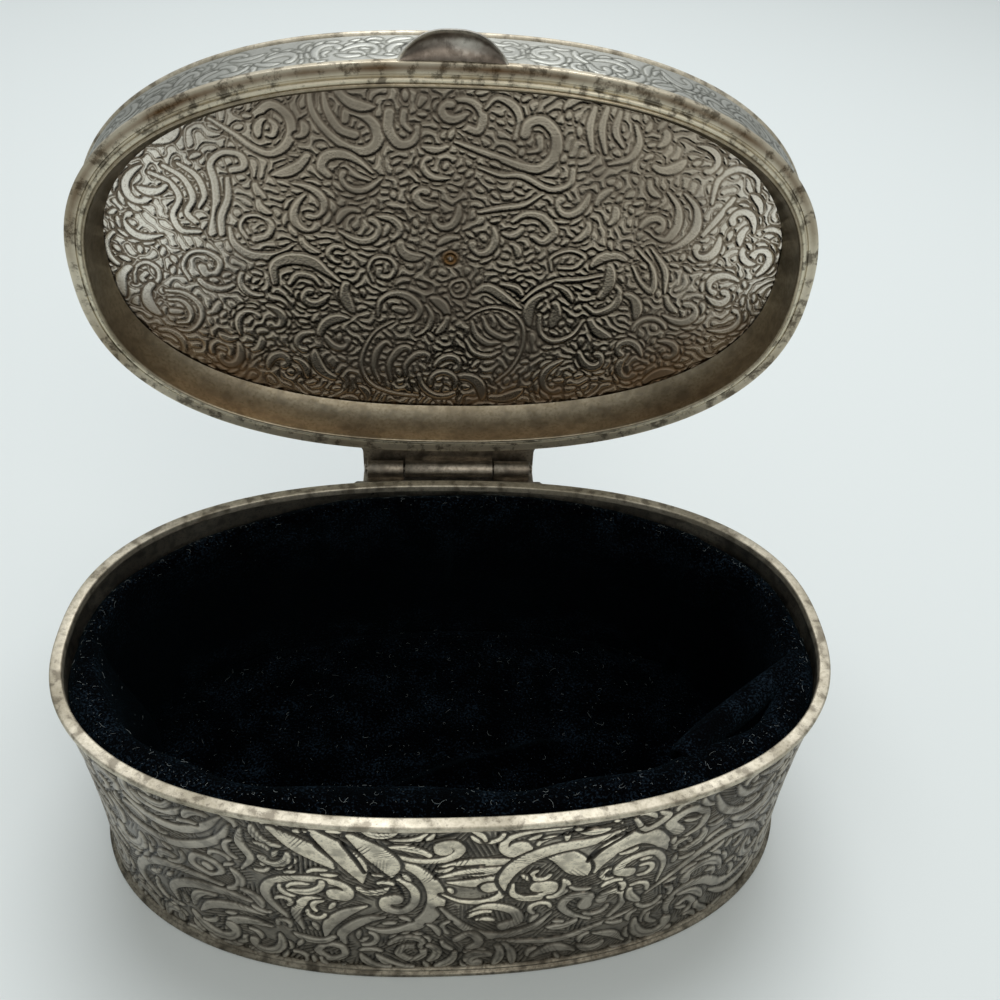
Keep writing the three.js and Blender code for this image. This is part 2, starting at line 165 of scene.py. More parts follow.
def wall_inset(height):
    """How far the wall lies in from the rim, at the ends and at the sides."""
    down = np.clip((RIM_BOTTOM - height) / RIM_BOTTOM, 0, 1)
    waist = WALL_WAIST * np.sin(math.pi * down)
    flare = down ** WALL_FLARE_POWER
    return (
        WALL_TOP_INSET + waist - WALL_FLARE_ENDS * flare,
        WALL_TOP_INSET + waist - WALL_FLARE_SIDES * flare,
    )


def no_drift(height):
    """The drift of a ring whose sides stand upright."""
    return 0 * height, 0 * height


# Soft steps and humps
def rise_from(value, start, end):
    """A smooth step, 0 up to start and 1 from end on."""
    share = np.clip((value - start) / (end - start), 0, 1)
    return share * share * (3 - 2 * share)


def hump(value, centre, width):
    """A smooth hump, 1 at its centre and nearly gone two widths away."""
    return np.exp(-(((value - centre) / width) ** 2))


# Mesh helpers. What is nearer than these, in mm, is one point
SEAM_MERGE = 0.001
POLE_MERGE = 0.0001


def coordinates(mesh):
    """The points of a mesh as rows of x, y and z."""
    points = np.empty(len(mesh.vertices) * 3)
    mesh.vertices.foreach_get("co", points)
    return points.reshape(-1, 3)


def place_points(mesh, points):
    """Moves every point of a mesh to its row of x, y and z."""
    mesh.vertices.foreach_set("co", points.astype(np.float32).ravel())
    mesh.update()


def store(mesh, name, values):
    """Gives each point of a mesh a value that its material reads."""
    attribute = mesh.attributes.new(name, "FLOAT", "POINT")
    attribute.data.foreach_set("value", values.astype(np.float32))


def open_lid(points):
    """Turns points of the shut lid to where the lid stands open."""
    y, z = points[:, 1] - HINGE_Y, points[:, 2] - HINGE_Z
    cos, sin = math.cos(LID_OPEN), math.sin(LID_OPEN)
    opened = points.copy()
    opened[:, 1] = HINGE_Y + y * cos + z * sin
    opened[:, 2] = HINGE_Z + z * cos - y * sin
    return opened


def to_mesh(name, bm):
    """The finished mesh of a bmesh, which is freed."""
    mesh = bpy.data.meshes.new(name)
    bm.to_mesh(mesh)
    bm.free()
    return mesh


def outward(mesh):
    """Closes a mesh's seams and turns every face outwards."""
    bm = bmesh.new()
    bm.from_mesh(mesh)
    bmesh.ops.remove_doubles(bm, verts=bm.verts, dist=SEAM_MERGE)
    bmesh.ops.recalc_face_normals(bm, faces=bm.faces)
    bm.to_mesh(mesh)
    bm.free()


def add_piece(name, mesh, points, body, material, nodes=(), soft_angle=40):
    """Puts a finished mesh, its points in mm, into the scene as a piece that rides on a body.

    The lid's pieces are drawn shut and are opened here. Edges that turn by more than soft_angle stay sharp.
    """
    if body == "lid":
        points = open_lid(points)
    place_points(mesh, points)
    outward(mesh)
    place_points(mesh, coordinates(mesh) * MM)
    mesh.shade_smooth()
    mesh.set_sharp_from_angle(angle=math.radians(soft_angle))
    mesh.materials.clear()
    mesh.materials.append(material)
    piece = bpy.data.objects.new(name, mesh)
    bpy.context.scene.collection.objects.link(piece)
    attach(piece, body)
    if nodes:
        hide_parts(*nodes)
    return piece


def arc(centre, radius, start, end, steps):
    """Points of an arc in a section, angles in degrees; 0 points inwards and 90 up."""
    angles = np.radians(np.linspace(start, end, steps + 1))
    return [(centre[0] + radius * math.cos(a), centre[1] + radius * math.sin(a)) for a in angles]


def spun_oval(name, section, drift=no_drift, disc=False):
    """Spins a section of (inset, height) points and squeezes the ring to the oval.

    drift gives how far the ring has moved in at a height, at the ends and at the sides. A disc's section runs
    from its middle, below, round its edge and back to its middle.
    """
    bm = bmesh.new()
    corners = [bm.verts.new((HALF_LENGTH - inset, 0, height)) for inset, height in section]
    pairs = list(zip(corners, corners[1:]))
    if not disc:
        pairs.append((corners[-1], corners[0]))
    lines = [bm.edges.new(pair) for pair in pairs]
    bmesh.ops.spin(
        bm, geom=corners + lines, cent=(0, 0, 0), axis=(0, 0, 1),
        angle=2 * math.pi, steps=RING_STEPS, use_merge=True,
    )
    bmesh.ops.remove_doubles(bm, verts=bm.verts, dist=POLE_MERGE)
    mesh = to_mesh(name, bm)
    points = coordinates(mesh)
    radius = np.hypot(points[:, 0], points[:, 1])
    share = (np.arctan2(points[:, 1], points[:, 0]) / (2 * math.pi) + 0.25) % 1
    angle = np.interp(share, RUN_SHARES, RUN_ANGLES)
    ends, sides = drift(points[:, 2])
    if disc:
        edge = min(inset for inset, _ in section)
        half_x = (HALF_LENGTH - ends) * (radius / HALF_LENGTH)
        half_y = (HALF_WIDTH - sides - edge) * radius / (HALF_LENGTH - edge)
    else:
        inset = HALF_LENGTH - radius
        half_x = HALF_LENGTH - inset - ends
        half_y = HALF_WIDTH - inset - sides
    x, y = oval_point(angle, half_x, half_y)
    return mesh, np.stack([x, y, points[:, 2]], 1)


# Relief: a height map drawn motif by motif, each one cutting what it overlaps. In mm: what stands in for no
# length, a stroke's least half width, and the half width above which a leaf has a vein; then a frond's lobes
TINY = 1e-9
THINNEST = 0.05
VEINED_WIDTH = 0.7
FROND_LOBES = 4


class Relief:
    """Chased sheet metal as a raster. off is how far a cell lies outside the nearest raised shape, in mm.

    CELL is a cell's side, FAR the off of open ground and CUT_SIDE the width of a cut's sides, in mm. LIP is
    how far the edge of a shape stands up, as a share of its rise.
    """

    CELL = 0.1
    FAR = 9
    CUT_SIDE = 0.3
    LIP = 0.18

    def __init__(self, low, high, wraps=False):
        self.low = np.array(low, float)
        self.wraps = wraps
        span = np.array(high, float) - self.low
        self.size = np.round(span / self.CELL).astype(int)
        self.off = np.full((self.size[1], self.size[0]), float(self.FAR))
        self.cuts = np.zeros((self.size[1], self.size[0]))
        self.hatched = np.zeros((self.size[1], self.size[0]), bool)

    def window(self, points, margin):
        """Cells round some points: their indices and places."""
        low = np.floor((points.min(0) - margin - self.low) / self.CELL).astype(int)
        high = np.ceil((points.max(0) + margin - self.low) / self.CELL).astype(int)
        rows = np.arange(max(low[1], 0), min(high[1], self.size[1]))
        columns = np.arange(low[0], high[0])
        if self.wraps:
            kept = columns % self.size[0]
        else:
            columns = columns[(columns >= 0) & (columns < self.size[0])]
            kept = columns
        x = self.low[0] + (columns + 0.5) * self.CELL
        y = self.low[1] + (rows + 0.5) * self.CELL
        return np.ix_(rows, kept), np.meshgrid(x, y)

    def distance(self, points, widths, margin):
        """Distance of the cells near a tapering line from its edge, negative inside."""
        points, widths = np.array(points, float), np.array(widths, float)
        place, (x, y) = self.window(points, widths.max() + margin)
        nearest = np.full(x.shape, float(self.FAR))
        for a, b, wide_a, wide_b in zip(points, points[1:], widths, widths[1:]):
            span = b - a
            along = ((x - a[0]) * span[0] + (y - a[1]) * span[1]) / max(span @ span, TINY)
            along = np.clip(along, 0, 1)
            off = np.hypot(x - a[0] - along * span[0], y - a[1] - along * span[1])
            nearest = np.minimum(nearest, off - (wide_a + (wide_b - wide_a) * along))
        return place, nearest

    def shape(self, points, widths, gap):
        """Raises a tapering shape on top of what is there, with a gap cut round it."""
        place, off = self.distance(points, widths, 2 * gap + 0.2)
        self.off[place] = np.minimum(off, np.maximum(self.off[place], gap - off))

    def under(self, off, gap):
        """Fills what is still free with a pattern given for every cell."""
        self.off = np.minimum(self.off, np.maximum(off, gap - self.off))

    def cut(self, points, widths, depth=0.35):
        """An engraved line with tapered ends."""
        place, off = self.distance(points, widths, self.CUT_SIDE + self.CELL)
        deep = np.clip(0.5 - off / self.CUT_SIDE, 0, 1)
        self.cuts[place] = np.maximum(self.cuts[place], depth * deep)

    def hatch(self, centre, radii, angle, pitch, depth, ground=0.15):
        """A patch of parallel graver cuts, on cells that lie more than ground outside the shapes."""
        centre, radii = np.array(centre, float), np.array(radii, float)
        place, (x, y) = self.window(centre[None], radii.max())
        cos, sin = math.cos(angle), math.sin(angle)
        along = (x - centre[0]) * cos + (y - centre[1]) * sin
        across = (y - centre[1]) * cos - (x - centre[0]) * sin
        inside = np.clip(3 * (1 - np.hypot(along / radii[0], across / radii[1])), 0, 1)
        line = np.clip(1.8 * np.cos(2 * math.pi * across / pitch) - 0.3, 0, 1)
        deep = inside * line * (self.off[place] > ground) * ~self.hatched[place]
        self.cuts[place] = np.maximum(self.cuts[place], depth * deep)
        self.hatched[place] |= inside > 0.2

    def free(self, points, room):
        """Whether all of the points lie clear of the shapes that are there."""
        cells = np.floor((points - self.low) / self.CELL).astype(int)
        rows = np.clip(cells[:, 1], 0, self.size[1] - 1)
        if self.wraps:
            columns = cells[:, 0] % self.size[0]
        else:
            columns = np.clip(cells[:, 0], 0, self.size[0] - 1)
        return (self.off[rows, columns] > room).all()

    def finish(self, rise, groove, ground=0.42, soft=0.22, line=0.15):
        """Works out heights in mm, and a tone from 0, a blackened cut, to 1, a rubbed high spot.

        rise is the height of the shapes and groove the depth of the cut round them. ground is the tone of the
        open sheet, soft how far a shape's edge is rounded and line how wide the cut is.
        """
        inside = 1 - np.exp(np.minimum(self.off, 0) / soft)
        lip = hump(self.off, -0.2, 0.14)
        trench = hump(self.off / line, 0.9, 1) * (self.off > -self.CELL)
        self.height = rise * (inside + self.LIP * lip) - groove * trench - self.cuts
        low = ground * np.clip(self.off / (3.3 * line), 0, 1)
        high = 0.3 + 0.5 * inside + 0.25 * lip
        blackened = np.clip(self.cuts / 0.2, 0, 1)
        self.tone = np.where(self.off < 0, high, low) * (1 - 0.92 * blackened)
        for grid in (self.height, self.tone):
            for axis in (0, 1):
                side = np.roll(grid, 1, axis) + np.roll(grid, -1, axis)
                grid[:] = grid * 0.5 + side * 0.25

    def sample(self, grid, x, y):
        """A grid's values at some places, blended between its cells."""
        column = (x - self.low[0]) / self.CELL - 0.5
        row = np.clip((y - self.low[1]) / self.CELL - 0.5, 0, self.size[1] - 1.001)
        if not self.wraps:
            column = np.clip(column, 0, self.size[0] - 1.001)
        left, below = np.floor(column).astype(int), np.floor(row).astype(int)
        across, up = column - left, row - below
        left, right = left % self.size[0], (left + 1) % self.size[0]
        lower = grid[below, left] * (1 - across) + grid[below, right] * across
        upper = grid[below + 1, left] * (1 - across) + grid[below + 1, right] * across
        return lower * (1 - up) + upper * up


def smooth_line(points, widths, steps=5):
    """A smooth curve through given points, with its widths."""
    points = np.column_stack([np.array(points, float), np.array(widths, float)])
    ends = np.vstack([2 * points[0] - points[1], points, 2 * points[-1] - points[-2]])
    line = []
    for a, b, c, d in zip(ends, ends[1:], ends[2:], ends[3:]):
        for t in np.arange(steps) / steps:
            line.append(0.5 * (2 * b + (c - a) * t + (2 * a - 5 * b + 4 * c - d) * t**2
                               + (3 * b - a - 3 * c + d) * t**3))
    line.append(points[-1])
    line = np.array(line)
    return line[:, :-1], np.maximum(line[:, -1], THINNEST)


def curl_line(root, angle, length, bend, steps, late):
    """A line that leaves its root at an angle and curls by bend, the later the more."""
    share = np.linspace(0, 1, steps)
    turn = angle + bend * share**late
    step = length / (steps - 1)
    x = root[0] + np.concatenate([[0], np.cumsum(np.cos(turn[:-1]) * step)])
    y = root[1] + np.concatenate([[0], np.cumsum(np.sin(turn[:-1]) * step)])
    return np.column_stack([x, y]), turn, share


def leaf(root, angle, length, bend, width, head=0.0):
    """A comma-shaped leaf, pointed at its root. head is how far its tip swells into a ball."""
    line, _, share = curl_line(root, angle, length, bend, steps=14, late=1.3)
    swell = np.sin(math.pi * (0.06 + 0.82 * share**0.8))
    widths = width * np.maximum(swell, 0.1) + head * width * hump(share, 1, 0.14)
    return line, widths


def frond(root, angle, length, hand, width, curl):
    """An acanthus frond: overlapping lobes on the outside of a stem that ends in a scroll."""
    line, turn, share = curl_line(root, angle, length, hand * curl, steps=20, late=1.9)
    strokes = []
    for spot in np.linspace(0.2, 0.72, FROND_LOBES):
        index = int(spot * (len(line) - 1))
        reach = length * (0.34 - 0.16 * abs(spot - 0.4))
        strokes.append(leaf(line[index], turn[index] - hand * 0.85, reach, hand * 1.5, width * 0.85))
    stem = width * (0.28 + 0.6 * np.sin(math.pi * share**0.9))
    widths = stem + width * 0.55 * hump(share, 1, 0.1)
    widths[0] = width * 0.12
    strokes.append((line, widths))
    return strokes


def ribbon(root, angle, length, bend, width):
    """A band of even width with round ends."""
    line, _, share = curl_line(root, angle, length, bend, steps=12, late=1)
    return line, width * (0.85 + 0.25 * np.sin(math.pi * share))


def motif(kind, place, angle, length, hand, width, chance):
    """The strokes of one motif. hand is the way it curls, and chance, from 0 to 1, how strongly."""
    if kind == "frond":
        return frond(place, angle, length, hand, width * (0.85 + 0.3 * chance), curl=3 + 1.4 * chance)
    if kind == "leaf":
        return [leaf(place, angle, length, hand * (0.8 + 1.6 * chance), width, head=0.25)]
    if kind == "ribbon":
        return [ribbon(place, angle, length, hand * (1.5 + 2.6 * chance), width)]
    return [leaf(place, angle, length, hand * 0.4, width)]


def pack_motifs(relief, draw, inside, motifs, gap, vein=0.0):
    """Fills free ground with motifs drawn at random, the large ones first.

    motifs holds rows of kind, tries, length and width. vein is how deep each leaf's midrib is cut.
    """
    low, span = relief.low, relief.size * relief.CELL
    for kind, tries, size, width in motifs:
        places = low + span * draw.random((tries, 2))
        for place, chance in zip(places, draw.random((tries, 4))):
            if not inside(place) or not relief.free(place[None], width * 0.5 + gap):
                continue
            angle = chance[0] * 2 * math.pi
            hand = 1 if chance[1] < 0.5 else -1
            length = size * (0.75 + 0.5 * chance[2])
            strokes = motif(kind, place, angle, length, hand, width, chance[3])
            spots = np.concatenate([line[2::3] for line, _ in strokes])
            if not all(inside(spot) for spot in spots[::3]) or not relief.free(spots, gap):
                continue
            for line, widths in strokes:
                relief.shape(line, widths, gap)
                if vein and widths.max() > VEINED_WIDTH:
                    relief.cut(line[3:-3], 0.1 * widths[3:-3], vein)


def worms(relief, draw, wavelength, gap):
    """Winding shapes and pebbles between thin channels, as a distance from the channels' sides."""
    shape = relief.off.shape
    rows = np.fft.fftfreq(shape[0], relief.CELL)
    columns = np.fft.rfftfreq(shape[1], relief.CELL)
    frequency = np.hypot(rows[:, None], columns[None])
    band = hump(frequency * wavelength, 1, 0.28)
    noise = np.fft.irfft2(np.fft.rfft2(draw.standard_normal(shape)) * band, shape)
    slope = np.hypot(*np.gradient(noise, relief.CELL))
    return gap / 2 - np.abs(noise) / np.maximum(slope, 0.35 * slope.mean())


def drawn(points, widths):
    """A stroke through given points, its widths given at even steps from start to end."""
    along = np.linspace(0, 1, len(points))
    given = np.linspace(0, 1, len(widths))
    return smooth_line(points, np.interp(along, given, widths))


# Front of the wall: the main scrolls, listed one by one. Points are run from the front centre and height, in
# mm, followed by the half widths from start to end
WALL_STROKES = [
    ([(-16, 42.4), (-9.5, 36.6), (-4.5, 31.4), (-2.3, 24.8), (-3.2, 18.6), (-6.5, 14.6), (-11, 13.2),
      (-15, 14.8)],
     (0.5, 1.1, 1.7, 1.2, 0.2)),
    ([(-12.6, 31), (-8.4, 30), (-5.8, 26), (-6, 21.8), (-8, 19.6), (-10.4, 20.4), (-10.4, 22.8),
      (-9, 23.3)],
     (0.2, 0.8, 0.8, 0.9, 1.5)),
    ([(-15, 43.6), (-10.6, 38.8), (-6, 35.8), (-1.4, 35.6), (1.3, 38), (0.4, 40.6), (-1.4, 40),
      (-1.2, 38.6)],
     (0.3, 0.6, 0.9, 1, 1.5)),
    ([(-27, 42.8), (-23.5, 39), (-20.4, 36), (-18.2, 32.4)], (0.6, 1.9, 1.9, 0.3)),
    ([(-20.6, 43.2), (-17.4, 38.5), (-14.9, 33.5), (-13.9, 28.4)], (0.7, 1.9, 2, 0.3)),
    ([(-15, 42.6), (-11.8, 38.2), (-9.6, 34), (-9.2, 30.4)], (0.7, 2, 1.9, 0.3)),
    ([(-23, 12), (-28, 16.5), (-30.3, 22), (-28, 26.5), (-23, 28.3), (-18.5, 28), (-16.4, 26),
      (-16.8, 23.8), (-18.4, 24.2)],
     (0.2, 0.9, 0.9, 0.8, 1.7)),
    ([(8, 33.6), (3, 34.6), (-1.8, 33.6)], (2, 1.2, 0.2)),
    ([(8, 31.2), (2.6, 31.6), (-2, 30.2)], (1.9, 1.1, 0.2)),
    ([(8.4, 29), (3.4, 28.2), (-0.6, 28.6)], (1.6, 1.2, 0.2)),
    ([(-1.4, 24.8), (1.6, 22.6), (5.6, 22.2), (8.4, 24.2), (8, 26.8), (6.2, 26.6)], (0.2, 0.7, 0.9, 1.5)),
    ([(18, 43.4), (12, 43.2), (8.6, 41.6), (7.9, 38.6), (9.3, 36.7), (11.2, 37.4), (10.4, 38.8)],
     (0.2, 0.7, 0.9, 1.7)),
    ([(35, 27), (34.2, 33), (30.5, 36.6), (26.2, 35.6), (23.4, 31.6), (23.2, 28)], (0.2, 1.6, 2.4, 2.2, 0.3)),
    ([(15.2, 36.4), (18.2, 33.8), (20.4, 30.2), (22, 27.6)], (1.4, 2.2, 2.1, 0.3)),
    ([(9.2, 24.4), (8.6, 29), (11, 34), (16, 37.4), (22, 38.2), (27, 40.6)], (0.3, 1.3, 1.6, 1.3, 0.2)),
    ([(10, 27.2), (10.2, 23.8), (12.8, 22.3), (15.8, 23.2), (16.2, 25.4), (14.5, 25.7)],
     (0.3, 0.9, 1.1, 1.8)),
    ([(35.2, 20), (35.6, 26.2), (32.8, 30.6), (28.8, 30), (27.4, 27), (29.4, 25.8)], (0.2, 0.8, 0.8, 1.3)),
    ([(33.5, 17), (38.4, 21), (44, 25.4), (50, 26), (56, 22), (59.6, 16)], (0.3, 0.8, 1, 0.9, 0.3)),
    ([(36.6, 35.2), (34.6, 38.8), (37.6, 41.2), (40.8, 38.6), (41, 34.6), (38.2, 32.6)],
     (1.2, 0.9, 0.9, 0.3)),
    ([(42, 42.6), (44.6, 37), (48.4, 33.6), (53, 33.8), (56, 37.6)], (0.3, 1, 0.9, 0.3)),
    ([(46, 42.6), (48.6, 38.4), (52, 38.2)], (0.3, 0.9, 0.4)),
    ([(28, 42.8), (30.4, 38.8), (33.6, 41.4), (32, 43.2)], (0.4, 0.8, 0.5)),
    ([(24, 13), (20.6, 15.2), (18.6, 18.6), (20.4, 21.4), (23, 20.4), (22.6, 17.8)], (0.3, 0.8, 0.9, 1.3)),
    ([(27, 12.2), (29.4, 16), (29, 19.6), (26.4, 20.6), (25.4, 18.6)], (0.3, 0.8, 0.7, 1)),
    ([(60, 11), (55, 8.6), (50, 9.4), (46, 13.4), (41.6, 14.4), (38.6, 11), (39.4, 6.4)],
     (0.2, 1, 1.1, 0.9, 0.4)),
    ([(62, 7.6), (57, 4.4), (52, 5.2), (48, 8.4)], (0.2, 1, 1, 0.3)),
    ([(40.8, 8.8), (43, 9.8), (44.6, 7), (42.4, 4.6)], (0.4, 0.8, 0.4)),
    ([(-1.6, 20.4), (1, 16), (4.4, 12.2), (9, 11), (14, 13), (17, 17)], (0.3, 0.8, 1, 0.8, 0.2)),
    ([(3, 18.8), (6.2, 20.6), (10, 19), (11.4, 15.6), (9, 14)], (0.4, 1.1, 0.9, 1.2)),
    ([(-13.6, 21), (-17, 18.6), (-20, 14.6), (-21, 10.4)], (0.3, 1.1, 1.2, 0.3)),
    ([(-10.8, 17.6), (-14, 16.6), (-18, 12), (-17.6, 8.6)], (0.3, 1, 1, 0.3)),
    ([(-24.6, 12), (-25.6, 17), (-23.4, 21.6), (-21, 22.4)], (0.3, 0.9, 0.9, 0.3)),
    ([(-33.6, 41), (-36, 36), (-40.4, 32), (-46, 29.4), (-52.6, 30.4), (-57, 34.4)], (0.3, 1, 1.1, 1, 0.3)),
    ([(-34.6, 43), (-38.4, 38.2), (-43.2, 35.2), (-49, 35.4), (-53.4, 38.6)], (0.3, 1, 1.1, 1, 0.3)),
    ([(-40, 43), (-43.6, 39.8), (-48.4, 39.6), (-51, 42)], (0.3, 0.9, 0.9, 0.3)),
    ([(-39.6, 23.2), (-42.6, 25), (-41.6, 28), (-38.6, 28), (-37.2, 25.4), (-39.4, 23.4)], (0.6, 0.7, 0.6)),
    ([(-40, 26), (-39.4, 25.4)], (0.8, 0.8)),
    ([(-35.6, 20.2), (-42, 21.4), (-49, 20.4), (-54.6, 16), (-56.6, 10.4), (-52.4, 6.2)],
     (0.2, 0.9, 1.1, 1, 0.4)),
    ([(-32, 17.6), (-37.6, 18.8), (-44, 17.6), (-48.6, 13.4), (-48, 9.4)], (0.2, 1, 1.2, 0.9, 0.3)),
    ([(-31, 14.4), (-36, 15), (-40.8, 13), (-43.4, 9.6)], (0.2, 1, 1.1, 0.3)),
    ([(-30, 11), (-34, 11.4), (-37.6, 9.6), (-39, 6.4)], (0.2, 1, 1, 0.3)),
    ([(-33.4, 28), (-31.4, 32), (-32.6, 36.6), (-31.8, 41)], (0.3, 0.7, 0.8, 0.3)),
    ([(-22.4, 5.4), (-20.4, 3.6), (-18, 5), (-18.4, 7.6), (-21, 8), (-22.6, 5.8)], (0.7, 0.7, 0.7)),
    ([(-8.6, 6), (-6.8, 4.4), (-4.6, 5.6), (-5, 8.2), (-7.6, 8.4), (-8.8, 6.4)], (0.7, 0.7, 0.7)),
    ([(1, 10.4), (3.4, 12), (5, 9.4), (3.6, 7.4)], (0.7, 0.8, 1)),
    ([(8, 9.6), (13, 8.6), (19, 8.2), (25, 10.4), (33, 13.6)], (0.3, 0.6, 0.7, 0.6, 0.2)),
    ([(14, 3.4), (18, 5.6), (22, 3.6)], (0.3, 1.2, 0.3)),
    ([(25, 8), (28.4, 6.6), (31, 3.4)], (0.3, 1, 0.3)),
]

# Single graver lines on the shapes
WALL_CUTS = [
    ([(-22.4, 43.6), (-20.2, 39), (-18, 34.6)], (0.15, 0.4, 0.2)),
    ([(-16.9, 41.5), (-14.9, 36.5), (-13.4, 31.6)], (0.15, 0.35, 0.25)),
    ([(21.8, 32.2), (24, 35.6), (30.5, 41)], (0.5, 0.35, 0.1)),
    ([(33, 16.4), (38, 20), (43.5, 24.2)], (0.1, 0.3, 0.1)),
    ([(-15, 43.8), (-10, 41.6), (-4, 41.4), (1, 43.6)], (0.1, 0.3, 0.1)),
    ([(13, 40.4), (20, 42), (29, 43.6)], (0.1, 0.3, 0.1)),
    ([(-8.4, 27.4), (-7.6, 24.6)], (0.3, 0.15)),
    ([(5, 34), (0, 33.6)], (0.25, 0.1)),
    ([(5, 31.4), (0.6, 30.8)], (0.25, 0.1)),
]

# Patches of hatching: middle, radii and angle
WALL_HATCHES = [
    ((-23, 32.5), (3.4, 3.6), 1.5), ((-13.5, 26.6), (4.4, 3.6), -0.65), ((20.5, 24.4), (5.6, 3.4), 0.45),
    ((36.4, 31), (3.8, 3), -0.9), ((-33.6, 34.6), (3, 3.4), 0.5), ((-5.6, 40.6), (3, 3.4), 1.2),
    ((4.4, 39.2), (3.4, 3.8), 1.9), ((22, 41.4), (6, 2), 0.2), ((-12, 17), (3, 2.4), 0.6),
    ((13, 29.6), (3, 4), 1.2), ((12, 18.4), (3.4, 3), 1.3), ((-3, 8), (4.6, 3.6), -0.8),
    ((8, 5), (4, 3), -0.6), ((-33, 13), (4, 3), -0.4), ((-8.4, 26.4), (1.6, 4.6), 0.2),
    ((28, 21), (3.4, 4), 0.6), ((0, 14.6), (2.6, 3), -0.8), ((17.4, 18), (2, 4), 0.7),
]

# What is packed between them: kind, tries, length and half width in mm
WALL_MOTIFS = [
    ("frond", 1500, 15, 1.4), ("frond", 2500, 10, 1.1), ("leaf", 3000, 7, 0.9), ("ribbon", 2500, 6, 0.5),
    ("leaf", 6000, 4, 0.6), ("pebble", 3000, 2.4, 0.55),
]


def wall_relief():
    """Flowing scrolls round the wall, with graver hatching between them."""
    draw = np.random.default_rng(11)
    relief = Relief((-PERIMETER / 2, 0), (PERIMETER / 2, RIM_TOP), wraps=True)

    def inside(point):
        return 1.2 < point[1] < RIM_BOTTOM - 0.8

    for points, widths in WALL_STROKES:
        relief.shape(*drawn(points, widths), gap=0.55)
    pack_motifs(relief, draw, inside, WALL_MOTIFS, gap=0.34, vein=0.16)
    for points, widths in WALL_CUTS:
        relief.cut(*drawn(points, widths))
    for centre, radii, angle in WALL_HATCHES:
        relief.hatch(centre, radii, angle, pitch=0.8, depth=0.32)
    for run, height, turn, pitch in draw.random((700, 4)):
        centre = (PERIMETER * (run - 0.5), RIM_BOTTOM * height)
        relief.hatch(centre, (4, 3), turn * math.pi, pitch=0.66 + 0.2 * pitch, depth=0.3)
    # A second, fainter hatching runs over the shapes as well
    relief.hatched[:] = False
    for run, height, turn, pitch in draw.random((260, 4)):
        centre = (PERIMETER * (run - 0.5), RIM_BOTTOM * height)
        pitch = 0.5 + 0.2 * pitch
        relief.hatch(centre, (3.2, 1.6), turn * math.pi, pitch, depth=0.13, ground=-relief.FAR)
    relief.finish(rise=0.22, groove=0.24, ground=0.5)
    return relief


def relief_strip(name, relief, run_from, run_to, low, high, inset_at, columns, rows, back_rows=4, worn=None):
    """A strip of sheet metal with a relief on its outside, bent round the oval from one run to another.

    inset_at gives the sheet's inset at a height, at the ends and at the sides.
    """
    bm = bmesh.new()
    bmesh.ops.create_grid(bm, x_segments=columns, y_segments=rows, size=0.5)
    rims = [e for e in bm.edges if e.is_boundary and abs(e.verts[0].co.y - e.verts[1].co.y) < 1e-6]
    pulled = bmesh.ops.extrude_edge_only(bm, edges=rims)["geom"]
    inner = [g for g in pulled if isinstance(g, bmesh.types.BMVert)]
    bmesh.ops.translate(bm, verts=inner, vec=(0, 0, -1))
    loops = [g for g in pulled if isinstance(g, bmesh.types.BMEdge)]
    loops = [e for e in loops if e.is_boundary and all(v.co.z < -0.5 for v in e.verts)]
    bridge = bmesh.ops.bridge_loops(bm, edges=loops)
    bmesh.ops.subdivide_edges(bm, edges=bridge["edges"], cuts=back_rows - 1)
    bmesh.ops.holes_fill(bm, edges=[e for e in bm.edges if e.is_boundary], sides=0)
    mesh = to_mesh(name, bm)
    flat = coordinates(mesh)
    run = (run_from + run_to) / 2 + flat[:, 0] * (run_to - run_from)
    height = low + (flat[:, 1] + 0.5) * (high - low)
    outside = flat[:, 2] > -0.5
    rise = relief.sample(relief.height, run, height)
    ends, sides = inset_at(height)
    depth = np.where(outside, -rise, SHEET)
    x, y = oval_point(angle_at(run), HALF_LENGTH - ends - depth, HALF_WIDTH - sides - depth)
    # The inside of the sheet is plain, with no cuts; its full tone and its share of the pale colour are
    # painted light
    store(mesh, "tone", np.where(outside, relief.sample(relief.tone, run, height), 1))
    if worn:
        store(mesh, "worn", np.where(outside, worn(run, height), 0.7))
    return mesh, np.stack([x, y, height], 1)


def relief_disc(name, relief, half_x, half_y, span, edge, crown, columns, rows, side, thick):
    """Part of a domed oval sheet, relieved on one side: side -1 is its lower face, +1 its upper one.

    With its mesh and points comes how far out each point lies, as a share of the way to the edge.
    """
    bm = bmesh.new()
    bmesh.ops.create_grid(bm, x_segments=columns, y_segments=rows, size=0.5)
    rim = [e for e in bm.edges if e.is_boundary]
    for scale in (1, 0.8, 0.8, 0.7, 0.5):
        pulled = bmesh.ops.extrude_edge_only(bm, edges=rim)["geom"]
        ring = [g for g in pulled if isinstance(g, bmesh.types.BMVert)]
        if scale == 1:
            bmesh.ops.translate(bm, verts=ring, vec=(0, 0, -1))
        else:
            bmesh.ops.scale(bm, verts=ring, vec=(scale, scale, 1))
        rim = [g for g in pulled if isinstance(g, bmesh.types.BMEdge) and g.is_boundary]
    bmesh.ops.holes_fill(bm, edges=rim, sides=0)
    mesh = to_mesh(name, bm)
    flat = coordinates(mesh)
    front = flat[:, 2] > -0.5
    disc_x, disc_y = on_disc(span[0] + (flat[:, 0] + 0.5) * (span[1] - span[0]), 2 * flat[:, 1])
    radius = np.hypot(disc_x, disc_y)
    x, y = oval_point(np.arctan2(disc_y, disc_x), half_x * radius, half_y * radius)
    dome = edge + crown * (1 - np.clip(radius, 0, 1) ** 2)
    rise = relief.sample(relief.height, x, y)
    z = np.where(front, dome + side * rise, dome - side * thick)
    store(mesh, "tone", np.where(front, relief.sample(relief.tone, x, y), 0.4))
    return mesh, np.stack([x, y, z], 1), radius


